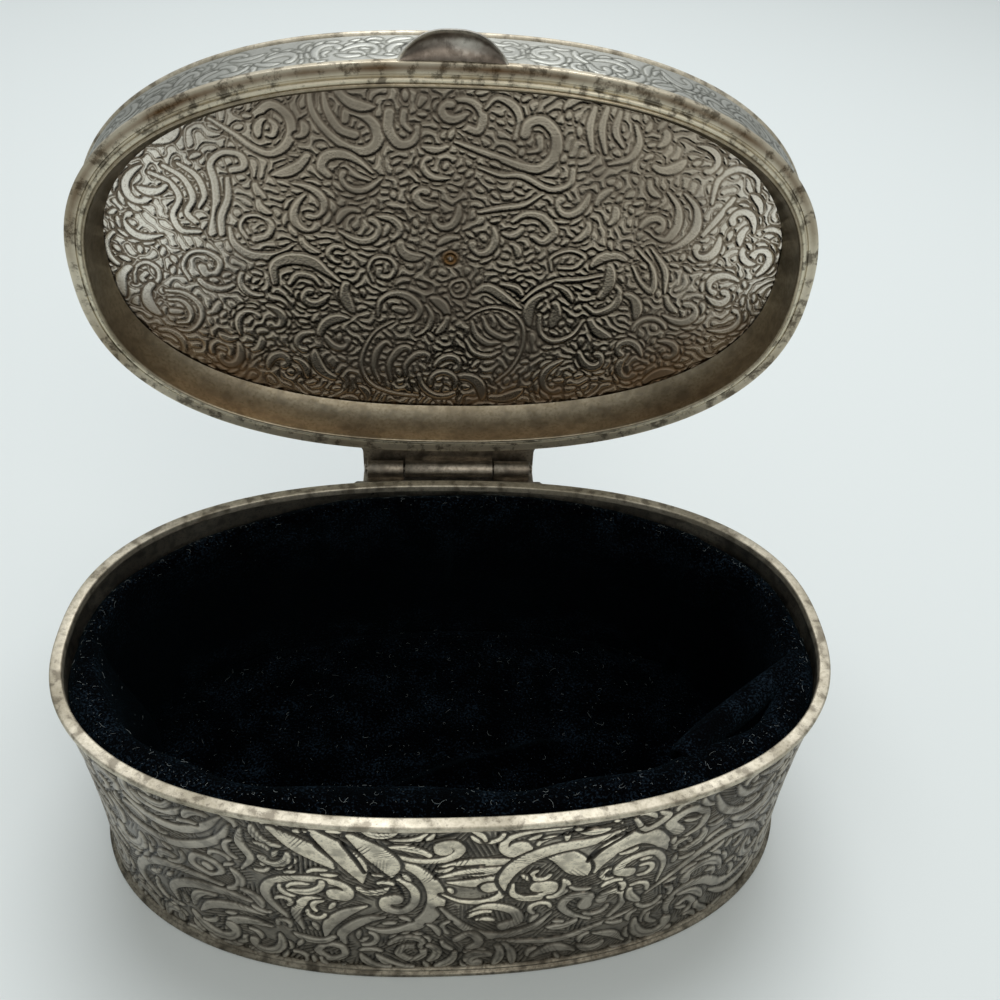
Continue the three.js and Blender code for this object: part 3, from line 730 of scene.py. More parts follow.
# Colour and nodes
def linear(code):
    """An sRGB hex colour as linear red, green, blue, alpha."""
    values = [int(code[i:i + 2], 16) / 255 for i in (1, 3, 5)]
    return [v / 12.92 if v <= 0.04045 else ((v + 0.055) / 1.055) ** 2.4 for v in values] + [1]


def add(tree, kind, inputs=None, **settings):
    """Adds a node, with its settings, and its inputs as values or as links (node, output)."""
    node = tree.nodes.new(kind)
    for key, value in settings.items():
        setattr(node, key, value)
    for key, value in (inputs or {}).items():
        if isinstance(value, tuple) and isinstance(value[0], bpy.types.Node):
            tree.links.new(value[0].outputs[value[1]], node.inputs[key])
        else:
            node.inputs[key].default_value = value
    return node


def new_material(name):
    """An empty material and its node tree."""
    material = bpy.data.materials.new(name)
    material.use_nodes = True
    material.node_tree.nodes.clear()
    return material, material.node_tree


def per_mm(size):
    """Texture scale for a feature of that size in millimetres."""
    return 1 / (size * MM)


# Numbers of the colour sockets of a Mix node: its two inputs and its result
MIX_A = 6
MIX_B = 7
MIX_RESULT = 2


def plated(name, cut, ground, bright, tarnish, roughness, relief=True, spots=0.0, grain=0.6, worn="#ddd5bd",
           stain="#7a5a38"):
    """Silver plate on brass, stamped and oxidised: dark in the cuts, rubbed bright on high spots.

    The colour runs from cut by ground to bright, under clouds of tarnish. spots is how dark its specks are,
    and grain the size in mm of its finest mottle. Where there is relief, the mesh says how high each point
    lies, where it is stained, and where it shows wear and painted highlight.
    """
    material, tree = new_material(name)
    place = add(tree, "ShaderNodeTexCoord")
    cloud = add(tree, "ShaderNodeTexNoise", {
        "Vector": (place, "Object"), "Scale": per_mm(14), "Detail": 5.0})
    fine = add(tree, "ShaderNodeTexNoise", {
        "Vector": (place, "Object"), "Scale": per_mm(grain), "Detail": 4.0})
    if relief:
        tone = add(tree, "ShaderNodeAttribute", attribute_name="tone")
        level = (tone, "Fac")
    else:
        even = add(tree, "ShaderNodeMapRange", {
            "Value": (fine, 0), "From Min": 0.3, "From Max": 0.7, "To Min": 0.45, "To Max": 1.0})
        level = (even, 0)
    shaken = add(tree, "ShaderNodeMath", {0: (fine, 0), 1: 0.3}, operation="MULTIPLY")
    level = add(tree, "ShaderNodeMath", {0: level, 1: (shaken, 0)}, operation="ADD")
    ramp = add(tree, "ShaderNodeValToRGB", {0: (level, 0)})
    ramp.color_ramp.elements[0].position = 0.2
    ramp.color_ramp.elements[0].color = linear(cut)
    ramp.color_ramp.elements[1].position = 1.05
    ramp.color_ramp.elements[1].color = linear(bright)
    middle = ramp.color_ramp.elements.new(0.55)
    middle.color = linear(ground)
    clouded = add(tree, "ShaderNodeMapRange", {
        "Value": (cloud, 0), "From Min": 0.45, "From Max": 0.68, "To Min": 0.0, "To Max": 0.5})
    colour = add(tree, "ShaderNodeMix", {
        0: (clouded, 0), MIX_A: (ramp, 0), MIX_B: linear(tarnish)}, data_type="RGBA")
    if relief:
        rubbed = add(tree, "ShaderNodeMapRange", {"Value": (tone, "Fac"), "From Min": 0.45, "From Max": 0.65})
        ragged = add(tree, "ShaderNodeMapRange", {
            "Value": (fine, 0), "From Min": 0.3, "From Max": 0.5, "To Min": 0.3, "To Max": 1.0})
        rubbed = add(tree, "ShaderNodeMath", {0: (rubbed, 0), 1: (ragged, 0)}, operation="MULTIPLY")
        # The paler patch is wear and painted highlight, laid where the mesh asks for it; the darker one is a
        # stain
        for patch, hue, where in (("worn", worn, rubbed), ("stain", stain, cloud)):
            spread = add(tree, "ShaderNodeAttribute", attribute_name=patch)
            share = add(tree, "ShaderNodeMath", {0: (spread, "Fac"), 1: (where, 0)}, operation="MULTIPLY")
            colour = add(tree, "ShaderNodeMix", {
                0: (share, 0), MIX_A: (colour, MIX_RESULT), MIX_B: linear(hue)}, data_type="RGBA")
    if spots:
        speck = add(tree, "ShaderNodeTexNoise", {
            "Vector": (place, "Object"), "Scale": per_mm(2.4), "Detail": 6.0, "Roughness": 0.7})
        spot = add(tree, "ShaderNodeMapRange", {
            "Value": (speck, 0), "From Min": 0.5, "From Max": 0.6, "To Min": 0.0, "To Max": spots})
        colour = add(tree, "ShaderNodeMix", {
            0: (spot, 0), MIX_A: (colour, MIX_RESULT), MIX_B: linear(cut)}, data_type="RGBA")
    rough = add(tree, "ShaderNodeMapRange", {
        "Value": (cloud, 0), "From Min": 0.3, "From Max": 0.7,
        "To Min": roughness - 0.07, "To Max": roughness + 0.1})
    bump = add(tree, "ShaderNodeBump", {"Height": (fine, 0), "Strength": 0.4, "Distance": 0.06 * MM})
    shader = add(tree, "ShaderNodeBsdfPrincipled", {
        "Base Color": (colour, MIX_RESULT), "Roughness": (rough, 0), "Metallic": 1.0, "Normal": (bump, 0)})
    add(tree, "ShaderNodeOutputMaterial", {"Surface": (shader, 0)})
    return material


def velvet(name):
    """Cotton velvet, woven with a cut pile: nearly black, its brushed tips a dull blue green.

    The pile is drawn at 0.4 mm, coarser than the real 0.1 mm, so that it shows. Its lighter tips are painted
    light, shown on the floor and the lining's upper edge only; the middle of the side is painted black as
    painted shade.
    """
    material, tree = new_material(name)
    place = add(tree, "ShaderNodeTexCoord")
    pile = add(tree, "ShaderNodeTexNoise", {
        "Vector": (place, "Object"), "Scale": per_mm(0.4), "Detail": 5.0, "Roughness": 0.65})
    brushed = add(tree, "ShaderNodeTexNoise", {
        "Vector": (place, "Object"), "Scale": per_mm(7), "Detail": 4.0})
    lean = add(tree, "ShaderNodeMapRange", {
        "Value": (brushed, 0), "From Min": 0.35, "From Max": 0.65, "To Min": -0.06, "To Max": 0.06})
    mixed = add(tree, "ShaderNodeMath", {0: (pile, 0), 1: (lean, 0)}, operation="ADD")
    ramp = add(tree, "ShaderNodeValToRGB", {0: (mixed, 0)})
    ramp.color_ramp.elements[0].position = 0.53
    ramp.color_ramp.elements[0].color = linear("#010102")
    ramp.color_ramp.elements[1].position = 0.72
    ramp.color_ramp.elements[1].color = linear("#1f2b36")
    # Painted light by height: the pile's lighter colour shows on the floor and high on the side, painted
    # shade between
    height = add(tree, "ShaderNodeSeparateXYZ", {0: (place, "Object")})
    floor = add(tree, "ShaderNodeMapRange", {
        "Value": (height, 2), "From Min": 8 * MM, "From Max": 15 * MM, "To Min": 1.0, "To Max": 0.15})
    shelf = add(tree, "ShaderNodeMapRange", {
        "Value": (height, 2), "From Min": 28 * MM, "From Max": 40 * MM, "To Min": 0.15, "To Max": 1.0})
    lit_pile_share = add(tree, "ShaderNodeMath", {0: (floor, 0), 1: (shelf, 0)}, operation="MAXIMUM")
    colour = add(tree, "ShaderNodeMix", {
        0: (lit_pile_share, 0), MIX_A: linear("#010102"), MIX_B: (ramp, 0)}, data_type="RGBA")
    bump = add(tree, "ShaderNodeBump", {"Height": (pile, 0), "Strength": 1.0, "Distance": 0.6 * MM})
    shader = add(tree, "ShaderNodeBsdfPrincipled", {
        "Base Color": (colour, MIX_RESULT), "Roughness": 0.95, "Normal": (bump, 0),
        "Sheen Weight": 0.06, "Sheen Roughness": 0.3, "Sheen Tint": linear("#58808f"),
        "Specular IOR Level": 0.02,
    })
    add(tree, "ShaderNodeOutputMaterial", {"Surface": (shader, 0)})
    return material


def lint(name):
    """Stray cotton fibres: dull, pale grey specks on the dark pile."""
    material, tree = new_material(name)
    shader = add(tree, "ShaderNodeBsdfPrincipled", {"Base Color": linear("#7c8484"), "Roughness": 0.9})
    add(tree, "ShaderNodeOutputMaterial", {"Surface": (shader, 0)})
    return material


def card(name):
    """Grey lining board, pressed from pulp: dull, with a faint fibre mottle."""
    material, tree = new_material(name)
    place = add(tree, "ShaderNodeTexCoord")
    fibre = add(tree, "ShaderNodeTexNoise", {
        "Vector": (place, "Object"), "Scale": per_mm(1.2), "Detail": 5.0})
    ramp = add(tree, "ShaderNodeValToRGB", {0: (fibre, 0)})
    ramp.color_ramp.elements[0].color = linear("#6d675c")
    ramp.color_ramp.elements[1].color = linear("#9a9385")
    bump = add(tree, "ShaderNodeBump", {"Height": (fibre, 0), "Strength": 0.3, "Distance": 0.1 * MM})
    shader = add(tree, "ShaderNodeBsdfPrincipled", {
        "Base Color": (ramp, 0), "Roughness": 0.9, "Normal": (bump, 0)})
    add(tree, "ShaderNodeOutputMaterial", {"Surface": (shader, 0)})
    return material


# Rims that hands touch: rubbed to a warm champagne grey, with brown specks
CHAMPAGNE = plated(
    "worn_silver_plate", cut="#463a28", ground="#bab29f", bright="#d8d0be", tarnish="#8f8672",
    roughness=0.58, relief=False, spots=0.6)

# The engraved wall and lid top: black in the cuts, pewter grey on the shapes, silver white high on the wall's
# front, where it is rubbed clean and a reflection of the bright floor is painted in
PEWTER = plated(
    "oxidised_engraved_plate", cut="#0c0a07", ground="#6a645a", bright="#b8b0a2", tarnish="#504a41",
    roughness=0.34, spots=0.4, worn="#fbf0d9")

# The lid's side: pale and slightly blue, with thin grey lines
BAND_METAL = plated(
    "bluish_engraved_plate", cut="#262522", ground="#93938a", bright="#c8c8c1", tarnish="#75756f",
    roughness=0.46)

# Smooth sheet that nobody polishes: an even olive tarnish
OLIVE = plated(
    "olive_tarnished_plate", cut="#3a3024", ground="#93876f", bright="#aea28c", tarnish="#6d614e",
    roughness=0.36, relief=False, spots=0.3)

# The flat of the lid's rim: pale, with a brown stain along its outer edge
LID_LAND = plated(
    "brown_specked_plate", cut="#33230f", ground="#c7bca4", bright="#e6dfcc", tarnish="#8f7f63",
    roughness=0.5, spots=0.7, stain="#5e3f1e")

# The foot: dull, and darker than the plain plate of the base
FOOT_METAL = plated(
    "dull_foot_plate", cut="#1d1812", ground="#635c50", bright="#958e7f", tarnish="#4a4237",
    roughness=0.4, relief=False, spots=0.7)

# The sheet inside the lid: glossy warm grey, its ends painted nearly white as a painted highlight
PANEL = plated(
    "embossed_grey_plate", cut="#120e08", ground="#867969", bright="#c2b5a2", tarnish="#706357",
    roughness=0.24, grain=0.4, worn="#f3ece0")

# The hinge: brown where polish never reaches
BROWN = plated(
    "brown_tarnished_plate", cut="#1d150d", ground="#80766a", bright="#aaa192", tarnish="#54473a",
    roughness=0.42, relief=False, spots=0.5)

# The thumb tab: dark in its hollow, with a bright lip
TAB_METAL = plated(
    "hollow_tab_plate", cut="#2a2119", ground="#91877d", bright="#f6f1e6", tarnish="#574b40",
    roughness=0.4, spots=0.35, grain=0.9)
VELVET = velvet("cut_pile_velvet")
LINT = lint("cotton_lint")
CARD = card("grey_lining_board")


# Body pieces. The wall is made in four strips: name, run from and to in mm, columns and rows
WALL_LOW = 0.4
FRONT_RUN = 46
SIDE_RUN = 100
WALL_STRIPS = [
    ("side_wall_front", -FRONT_RUN, FRONT_RUN, 450, 212),
    ("side_wall_left", -SIDE_RUN, -FRONT_RUN, 270, 170),
    ("side_wall_right", FRONT_RUN, SIDE_RUN, 270, 170),
    ("side_wall_back", SIDE_RUN, PERIMETER - SIDE_RUN, 440, 140),
]

# How far the bottom sheet is raised inside its edge, in mm
BASE_STEP = 0.35


def wall_wear_and_reflection(run, height):
    """Polished clean, with a painted reflection of the bright floor: above the middle of the front, towards
    the right.
    """
    ragged = 3 * np.sin(run / 4.7) + 2 * np.sin(run / 2.1 + height / 3)
    return np.exp(-(((run - 5 + ragged) / 33) ** 6)) * rise_from(height + ragged, 18, 23)


def make_wall():
    """The engraved side of the body."""
    relief = wall_relief()
    for name, start, end, columns, rows in WALL_STRIPS:
        mesh, points = relief_strip(
            name, relief, start, end, WALL_LOW, RIM_BOTTOM, wall_inset, columns, rows, worn=wall_wear_and_reflection)
        add_piece(name, mesh, points, "box_body", PEWTER, ["side_wall"], soft_angle=60)


def make_body_rim():
    """A flat ring with two fine beads low on its outside and rounded upper edges."""
    top, low = RIM_TOP, RIM_BOTTOM
    section = [(0.12, low + 0.05)]
    section += [(0.02, low + 0.2), (0.02, low + 0.42), (0.12, low + 0.52), (0, low + 0.62)]
    section += arc((0.33, top - 0.33), 0.33, 180, 90, 5)
    section += arc((1.6, top - 0.3), 0.3, 90, 0, 4)
    section += [(1.9, low), (0.3, low)]
    mesh, points = spun_oval("rim", section)
    add_piece("rim", mesh, points, "box_body", CHAMPAGNE, ["body_rim"])


def make_foot():
    """A half-round moulding with a bead on top of it, following the wall's flare."""
    section = [(0.3, 0.05)]
    section += arc((-0.42, 0.55), 0.5, 250, 95, 8)
    section += [(-0.25, 1.2)]
    section += arc((-0.2, 1.5), 0.3, 230, 90, 5)
    section += [(-0.05, 1.88), (0.3, 1.88)]
    mesh, points = spun_oval("foot", section, wall_inset)
    add_piece("foot", mesh, points, "box_body", FOOT_METAL, ["foot_moulding"])


def make_base():
    """The bottom sheet, with a low step towards its edge."""
    half_length, _, thick = box_mm("base_plate")[1]
    edge = HALF_LENGTH - half_length
    section = [(HALF_LENGTH, BASE_STEP), (30, BASE_STEP), (edge + 2.4, BASE_STEP), (edge + 1.2, 0)]
    section += [(edge, 0.1), (edge, thick), (HALF_LENGTH, thick)]
    mesh, points = spun_oval("base", section, disc=True)
    add_piece("base", mesh, points, "box_body", OLIVE, ["base_plate"])


# Lid pieces, drawn shut
def make_lid_rim():
    """The lid's rim: a flat land, a fine groove and a bead on its inner edge, stained and rubbed in rings."""
    low, high = shut_box("lid_rim")
    inset = HALF_LENGTH - high[0]
    face, top = low[2], high[2]
    section = [(inset, top)]
    section += arc((inset + 0.3, face + 0.3), 0.3, 180, 270, 5)
    section += [(inset + flat, face) for flat in (0.6, 0.9, 1.2, 1.5, 1.7)]
    section += [(inset + 1.85, face + 0.2), (inset + 2.1, face + 0.2)]
    section += arc((inset + 2.6, face - 0.15), 0.45, 170, 300, 7)
    section += [(inset + 2.92, face - 0.45), (inset + 2.92, top)]
    mesh, points = spun_oval("lid_edge", section)
    ring = coordinates(mesh)
    inward = HALF_LENGTH - inset - np.hypot(ring[:, 0], ring[:, 1])
    tab_side = rise_from(-points[:, 1], 0, 0.8 * HALF_WIDTH)
    store(mesh, "tone", np.full_like(inward, 0.65))
    store(mesh, "stain", (0.4 + 1.1 * tab_side) * hump(inward, 0.85, 0.6))
    store(mesh, "worn", 0.7 * hump(inward, 2.5, 0.35))
    add_piece("lid_edge", mesh, points, "lid", LID_LAND, ["lid_rim"])


# The strip inside the lid: its cove at the ends and sides, in mm
COLLAR_COVE_ENDS = 0.9
COLLAR_COVE_SIDES = 2.7
COLLAR_COVE_POWER = 2.4
COLLAR_THICK = 0.6


def make_collar():
    """The smooth strip inside the lid, coved towards the panel."""
    low, high = shut_box("lid_collar")
    face = shut_box("lid_rim")[0][2]
    start = HALF_LENGTH - high[0] + COLLAR_THICK

    def drift(height):
        up = np.clip((height - face) / (high[2] - face), 0, 1) ** COLLAR_COVE_POWER
        return COLLAR_COVE_ENDS * up, COLLAR_COVE_SIDES * up

    section = arc((start - COLLAR_THICK / 2, low[2] + 0.3), COLLAR_THICK / 2, 180, 360, 6)
    levels = np.linspace(low[2] + 0.5, high[2], 16)
    section += [(start, z) for z in levels] + [(start - COLLAR_THICK, z) for z in levels[::-1]]
    mesh, points = spun_oval("lid_lining_strip", section, drift)
    add_piece("lid_lining_strip", mesh, points, "lid", OLIVE, ["lid_collar"])


def make_edge_wire():
    """The round wire along the lid's upper edge."""
    low, high = shut_box("lid_edge_wire")
    inset = HALF_LENGTH - high[0]
    radius = (high[2] - low[2]) / 2
    section = arc((inset + radius, low[2] + radius), radius, 0, 337.5, 15)
    mesh, points = spun_oval("lid_wire", section)
    add_piece("lid_wire", mesh, points, "lid", CHAMPAGNE, ["lid_edge_wire"])


# How far the foot of the lid's band lies in from its top, in mm, and its motifs
BAND_LEAN = 0.75
BAND_MOTIFS = [
    ("frond", 1500, 8, 0.8), ("leaf", 2500, 5, 0.65), ("ribbon", 2500, 4.5, 0.4), ("leaf", 5000, 3, 0.45),
    ("pebble", 4000, 1.8, 0.4),
]


def band_relief():
    """Small scrolls round the lid's side, lightly engraved."""
    low, high = shut_box("lid_side_band")
    draw = np.random.default_rng(5)
    relief = Relief((-PERIMETER / 2, low[2]), (PERIMETER / 2, high[2]), wraps=True)

    def inside(point):
        return low[2] + 0.9 < point[1] < high[2] - 0.9

    pack_motifs(relief, draw, inside, BAND_MOTIFS, gap=0.26, vein=0.08)
    relief.finish(rise=0.06, groove=0.07, ground=0.72, soft=0.18, line=0.12)
    return relief


def make_band():
    """The engraved side of the lid, leaning out towards its top."""
    low, high = shut_box("lid_side_band")
    foot = HALF_LENGTH - high[0] + BAND_LEAN
    relief = band_relief()

    def inset_at(height):
        inset = foot - BAND_LEAN * (height - low[2]) / (high[2] - low[2])
        return inset, inset

    half = PERIMETER / 2
    for name, start, end in (("lid_band_left", -half, 0), ("lid_band_right", 0, half)):
        mesh, points = relief_strip(
            name, relief, start, end, low[2], high[2], inset_at, columns=640, rows=42, back_rows=2)
        add_piece(name, mesh, points, "lid", BAND_METAL, ["lid_side_band"], soft_angle=60)


# Inside of the lid: the larger motifs, listed one by one. Points are x and height above its middle with the
# lid open, in mm, followed by the half widths from start to end
PANEL_STROKES = [
    ([(-38.5, 24.8), (-35, 22.2), (-32.5, 20), (-29.8, 18.9), (-27.2, 20.2), (-25.8, 22.8), (-26.2, 25.5),
      (-28.6, 27.2), (-31, 25.6)],
     (0.3, 0.9, 0.8)),
    ([(-30.6, 22.6), (-29, 22), (-28.3, 23.6), (-29.4, 25)], (0.3, 0.7, 0.3)),
    ([(-22.4, 29.6), (-22.1, 26), (-20, 22.6), (-17, 20.2), (-14, 19.7), (-12, 21.5), (-12.5, 24.2),
      (-14.6, 26), (-16.6, 26.4), (-17.1, 24.8)],
     (0.4, 1.1, 0.7)),
    ([(-20.2, 29.4), (-19.8, 26.4), (-18.2, 23.4), (-15.8, 22.4)], (0.3, 0.8, 0.9)),
    ([(-10, 26.4), (-10.2, 23.4), (-8.6, 21), (-6.2, 21.6), (-5.6, 24)], (0.9, 1, 0.5)),
    ([(-7.6, 26.6), (-7.8, 24.6), (-6.8, 23.4)], (0.6, 0.5)),
    ([(-13.2, 15.8), (-15.4, 17.8), (-18, 19), (-20.6, 18.6), (-21.6, 16.6), (-20.6, 15.2)], (0.3, 1.1, 0.7)),
    ([(-17.8, 16.6), (-15.8, 15.2), (-13.6, 14.4)], (0.8, 0.3)),
    ([(-49.6, 15.6), (-46.8, 14), (-45.6, 11), (-47.2, 8), (-46.4, 5.2), (-43.4, 4.8)], (0.35, 0.6, 0.5)),
    ([(-47.2, 16.8), (-44.4, 14.6), (-43.4, 11), (-44.8, 8.4), (-43.6, 6.6)], (0.35, 0.6, 0.5)),
    ([(-44.8, 17.2), (-42.2, 15), (-41.4, 11.6), (-42.6, 9.4)], (0.3, 0.6, 0.4)),
    ([(-36.2, 16), (-34.2, 16.6), (-34.6, 18.6), (-37.4, 19), (-39.6, 17), (-39.4, 13.6), (-39.8, 9.6),
      (-41.2, 4.6)],
     (0.7, 0.6, 0.8)),
    ([(-37.2, 14.6), (-37.6, 11), (-39.2, 7.6), (-39.6, 4.4)], (0.4, 0.8, 0.6)),
    ([(-53.8, -3), (-54.7, -4), (-53.4, -5), (-51.8, -4.2), (-51.7, -2.1), (-53.4, -0.8), (-55.4, -2),
      (-56, -4.6)],
     (0.55, 0.45, 0.3)),
    ([(-51, -6.4), (-47.9, -7), (-45.6, -9.4), (-45.7, -12.4), (-48, -14.7), (-51, -14.2)], (0.3, 0.55, 0.3)),
    ([(-50.8, -8.2), (-48.5, -8.6), (-47.3, -10.8), (-48, -12.8), (-50, -13)], (0.3, 0.5, 0.3)),
    ([(-50.6, -10.6), (-49.2, -10.8)], (0.7, 0.6)),
    ([(-38.2, 5.6), (-37.8, 2.6), (-35.4, 0.4), (-32.6, 0), (-30, 0.6), (-27.8, 2.2)], (0.3, 1.1, 0.3)),
    ([(-34, 3.4), (-32, 4), (-31, 5.8), (-32.4, 7.6), (-35.1, 7.6), (-36.3, 5.6), (-35.4, 3.4)],
     (0.8, 0.5, 0.3)),
    ([(-31.6, -5.2), (-31.4, -1.8), (-28.4, -0.4), (-24.8, -1), (-22.4, -3), (-19.8, -5.2)], (0.6, 1.5, 0.3)),
    ([(-29, -5.4), (-27.4, -3.6), (-25, -4), (-23.6, -5.8)], (0.5, 0.8, 0.3)),
    ([(-44, -1.9), (-43.4, -3.3), (-41.6, -3), (-40.8, -0.8), (-42.8, 1), (-45.6, 0.8), (-47.2, -1.6),
      (-46.4, -4.4)],
     (0.8, 0.5, 0.3)),
    ([(-12.8, -2.4), (-12.8, -3.8), (-11, -4), (-9.9, -2.1), (-11.1, -0.2), (-13.5, -0.2), (-14.7, -2.4),
      (-14, -5)],
     (0.6, 0.5, 0.3)),
    ([(-13.4, -12), (-12.8, -8.8), (-10.2, -7.3), (-7.4, -8.1), (-5.6, -10.4), (-6.6, -12.6), (-9, -13.2)],
     (0.3, 0.9, 0.3)),
    ([(-10.2, -10.4), (-8.6, -10.8)], (0.7, 0.9)),
    ([(-10.6, -13), (-14, -15.2), (-16.2, -18.9), (-17, -22.6), (-15.4, -26.2), (-11.2, -28.2),
      (-6.1, -28.9)],
     (0.25, 0.4, 0.25)),
    ([(-13.6, -26), (-14.6, -23), (-14, -19.6), (-12.2, -17.4), (-11.2, -18.2)], (0.3, 0.7, 0.3)),
    ([(-11.4, -25.6), (-11.6, -22), (-9.6, -19), (-7.8, -18.6), (-7.6, -20.2)], (0.3, 0.8, 0.3)),
    ([(-8.6, -24.6), (-8.4, -22.2), (-6.2, -20), (-4.2, -20), (-4.2, -21.6)], (0.3, 0.75, 0.3)),
    ([(-6.4, -16), (-4.2, -14.6), (-3.4, -12), (-4.4, -9.6)], (0.3, 0.7, 0.3)),
    ([(1, -4.6), (2.6, -4.4), (3.4, -6), (2.6, -7.6), (0.8, -7.6), (0, -6), (0.6, -4.8)], (0.35, 0.35)),
    ([(2.2, 24.2), (4.4, 23.6), (5, 26.2), (3.4, 28.4), (0.9, 28.7), (-0.4, 26.8)], (0.8, 0.8, 0.4)),
    ([(5.4, 27.4), (7.2, 29.2), (9.9, 28), (11, 25.4), (10.4, 22.4)], (0.3, 0.8, 0.4)),
    ([(0.7, 21.6), (3.4, 20.6), (7.7, 19.1), (12, 17.6), (15, 17.4), (17.2, 19.7), (17.1, 23.3),
      (14.8, 25.7), (12.6, 25.2), (12, 23.2)],
     (0.4, 1.1, 0.9)),
    ([(12.8, 20.2), (14.6, 20.8), (14.4, 22.8)], (0.4, 0.7)),
    ([(4.7, 17.2), (8.4, 15.9), (12, 15.9), (16.8, 13.6), (20.2, 14.6), (20.6, 17.4)], (0.35, 0.7, 0.5)),
    ([(23, 28.4), (22.5, 24.7), (23.4, 20.8)], (0.4, 0.7, 0.4)),
    ([(25, 28.4), (24.5, 24.7), (25.6, 20.6)], (0.4, 0.7, 0.4)),
    ([(27.2, 27.8), (26.8, 24.4), (28.4, 21.8)], (0.4, 0.7, 0.4)),
    ([(30, 25.6), (31, 22.6), (29.9, 19.8), (26.6, 18.6)], (0.4, 0.8, 0.4)),
    ([(4.9, 9), (8.4, 9.8), (12.7, 10.6), (15.8, 12.8)], (0.4, 0.7, 0.3)),
    ([(14.6, 4.6), (16.6, 3.6), (18.3, 5.6), (16.4, 8.2), (13.4, 8.9), (11, 7.4)], (0.6, 1, 0.5)),
    ([(37.4, 14), (39.6, 11.2), (39.9, 7.6), (38.2, 5), (34.6, 6.8)], (0.4, 0.9, 0.4)),
    ([(40.4, 13.8), (42.8, 11.2), (43.4, 7.4), (41.4, 4.4), (38.6, 2.8)], (0.4, 0.9, 0.4)),
    ([(44.8, 6.2), (47, 9.9), (48.9, 13.6)], (0.4, 0.6, 0.4)),
    ([(45.2, 12.4), (45.6, 16.9), (48.4, 18.9), (51.8, 17.6), (52.7, 15.2)], (0.4, 0.65, 0.5)),
    ([(33.6, 3), (37, -1), (37.5, -5.4), (35, -3.6), (33.2, -0.4)], (0.4, 0.7, 0.3)),
    ([(36, 3.4), (39.2, -1), (39.8, -5.6)], (0.3, 0.7, 0.3)),
    ([(4.3, -6.9), (7, -5.8), (10.4, -8), (13.3, -9.9)], (0.4, 1.3, 0.3)),
    ([(9.6, -5), (12.4, -6), (13.8, -8.2)], (0.5, 0.8, 0.3)),
    ([(3, -12.4), (5, -10.8), (8.2, -9.8), (11.6, -10.8), (13.9, -13.8), (14, -18.4), (12.2, -22.6),
      (9.2, -25.6)],
     (0.25, 0.4, 0.25)),
    ([(4.2, -12.8), (5, -15.6), (7.4, -17.4), (9.6, -17)], (0.3, 0.9, 0.4)),
    ([(6.2, -11.8), (7.4, -14.6), (10.4, -16.2), (12, -15.6)], (0.3, 0.8, 0.4)),
    ([(8.8, -11.4), (10.6, -13.6), (12.4, -14)], (0.3, 0.7, 0.3)),
    ([(3, -16.6), (4.6, -19.4), (7.6, -20.2), (9.6, -19.2)], (0.3, 0.7, 0.4)),
    ([(16.9, -11.2), (17.4, -15), (20, -16.7), (23.6, -15.2), (25.4, -12)], (0.4, 0.6, 0.3)),
    ([(29.6, -3.6), (31.5, -5.9), (30.7, -8.9), (27.6, -10.4), (25.4, -9)], (0.4, 0.8, 0.5)),
    ([(13.6, -8.4), (16.3, -5.8), (19.9, -4.1), (24.1, -3.6), (27.9, -2.6)], (0.35, 0.6, 0.4)),
    ([(20, -1.4), (22.8, -1.2), (24.2, 1), (21.4, 2.1), (18.3, 0.6), (18.4, -2)], (0.5, 0.5, 0.3)),
    ([(-1.2, 0), (-0.85, 0.85), (0, 1.2), (0.85, 0.85), (1.2, 0), (0.85, -0.85), (0, -1.2), (-0.85, -0.85),
      (-1.2, 0)],
     (0.22, 0.22)),
]

PANEL_MOTIFS = [
    ("frond", 300, 9, 0.8), ("leaf", 260, 6.5, 1), ("ribbon", 300, 8, 0.5), ("leaf", 260, 4.2, 0.7),
    ("pebble", 500, 1.6, 0.5),
]


def disc_relief(half_x, half_y, draw, strokes, motifs, gap):
    """Motifs packed into an oval, the listed strokes first. Their y is turned round for the shut lid."""
    relief = Relief((-half_x - 1, -half_y - 1), (half_x + 1, half_y + 1))
    for points, widths in strokes:
        line, thick = drawn(points, widths)
        relief.shape(line * (1, -1), 0.88 * thick, gap)

    def inside(point):
        return (abs(point[0]) / half_x) ** OVAL_POWER + (abs(point[1]) / half_y) ** OVAL_POWER < 1

    pack_motifs(relief, draw, inside, motifs, gap)
    return relief


def panel_stain_and_highlight(mesh, points, radius, half_x, half_y):
    """The panel's brown lower edge and centre mark, and its ends, painted bright as a painted highlight."""
    x, y = points[:, 0], points[:, 1]
    middle = np.hypot(x, y)
    low_edge = 1.1 * rise_from(radius, 0.7, 1) * rise_from(y, 0.1 * half_y, 0.7 * half_y)
    store(mesh, "stain", low_edge + 2 * hump(middle, 0.9, 0.6))
    # Painted highlight: the ends, the left one most, are painted bright where the sheet catches the light
    left = 1.2 * rise_from(-x, 0.45 * half_x, 0.95 * half_x)
    right = 0.9 * rise_from(x, 0.6 * half_x, 0.98 * half_x)
    ends = (left + right) * rise_from(-y, -0.6 * half_y, 0)
    store(mesh, "worn", ends + 2 * hump(middle, 0, 0.3))


def make_panel():
    """The embossed sheet inside the lid: motifs over a ground of winding pebbles."""
    low, high = shut_box("lid_inner_panel")
    draw = np.random.default_rng(3)
    relief = disc_relief(high[0] - 0.5, high[1] - 0.5, draw, PANEL_STROKES, PANEL_MOTIFS, gap=0.38)
    relief.under(worms(relief, draw, wavelength=2.7, gap=0.58), gap=0.36)
    relief.finish(rise=0.058, groove=0.085, ground=0.78, soft=0.08, line=0.085)
    crown = high[2] - low[2] - SHEET
    for name, span in (("lid_panel_left", (-1, 0)), ("lid_panel_right", (0, 1))):
        mesh, points, radius = relief_disc(
            name, relief, high[0], high[1], span, low[2], crown, columns=300, rows=300, side=-1, thick=SHEET)
        panel_stain_and_highlight(mesh, points, radius, high[0], high[1])
        add_piece(name, mesh, points, "lid", PANEL, ["lid_inner_panel"], soft_angle=60)


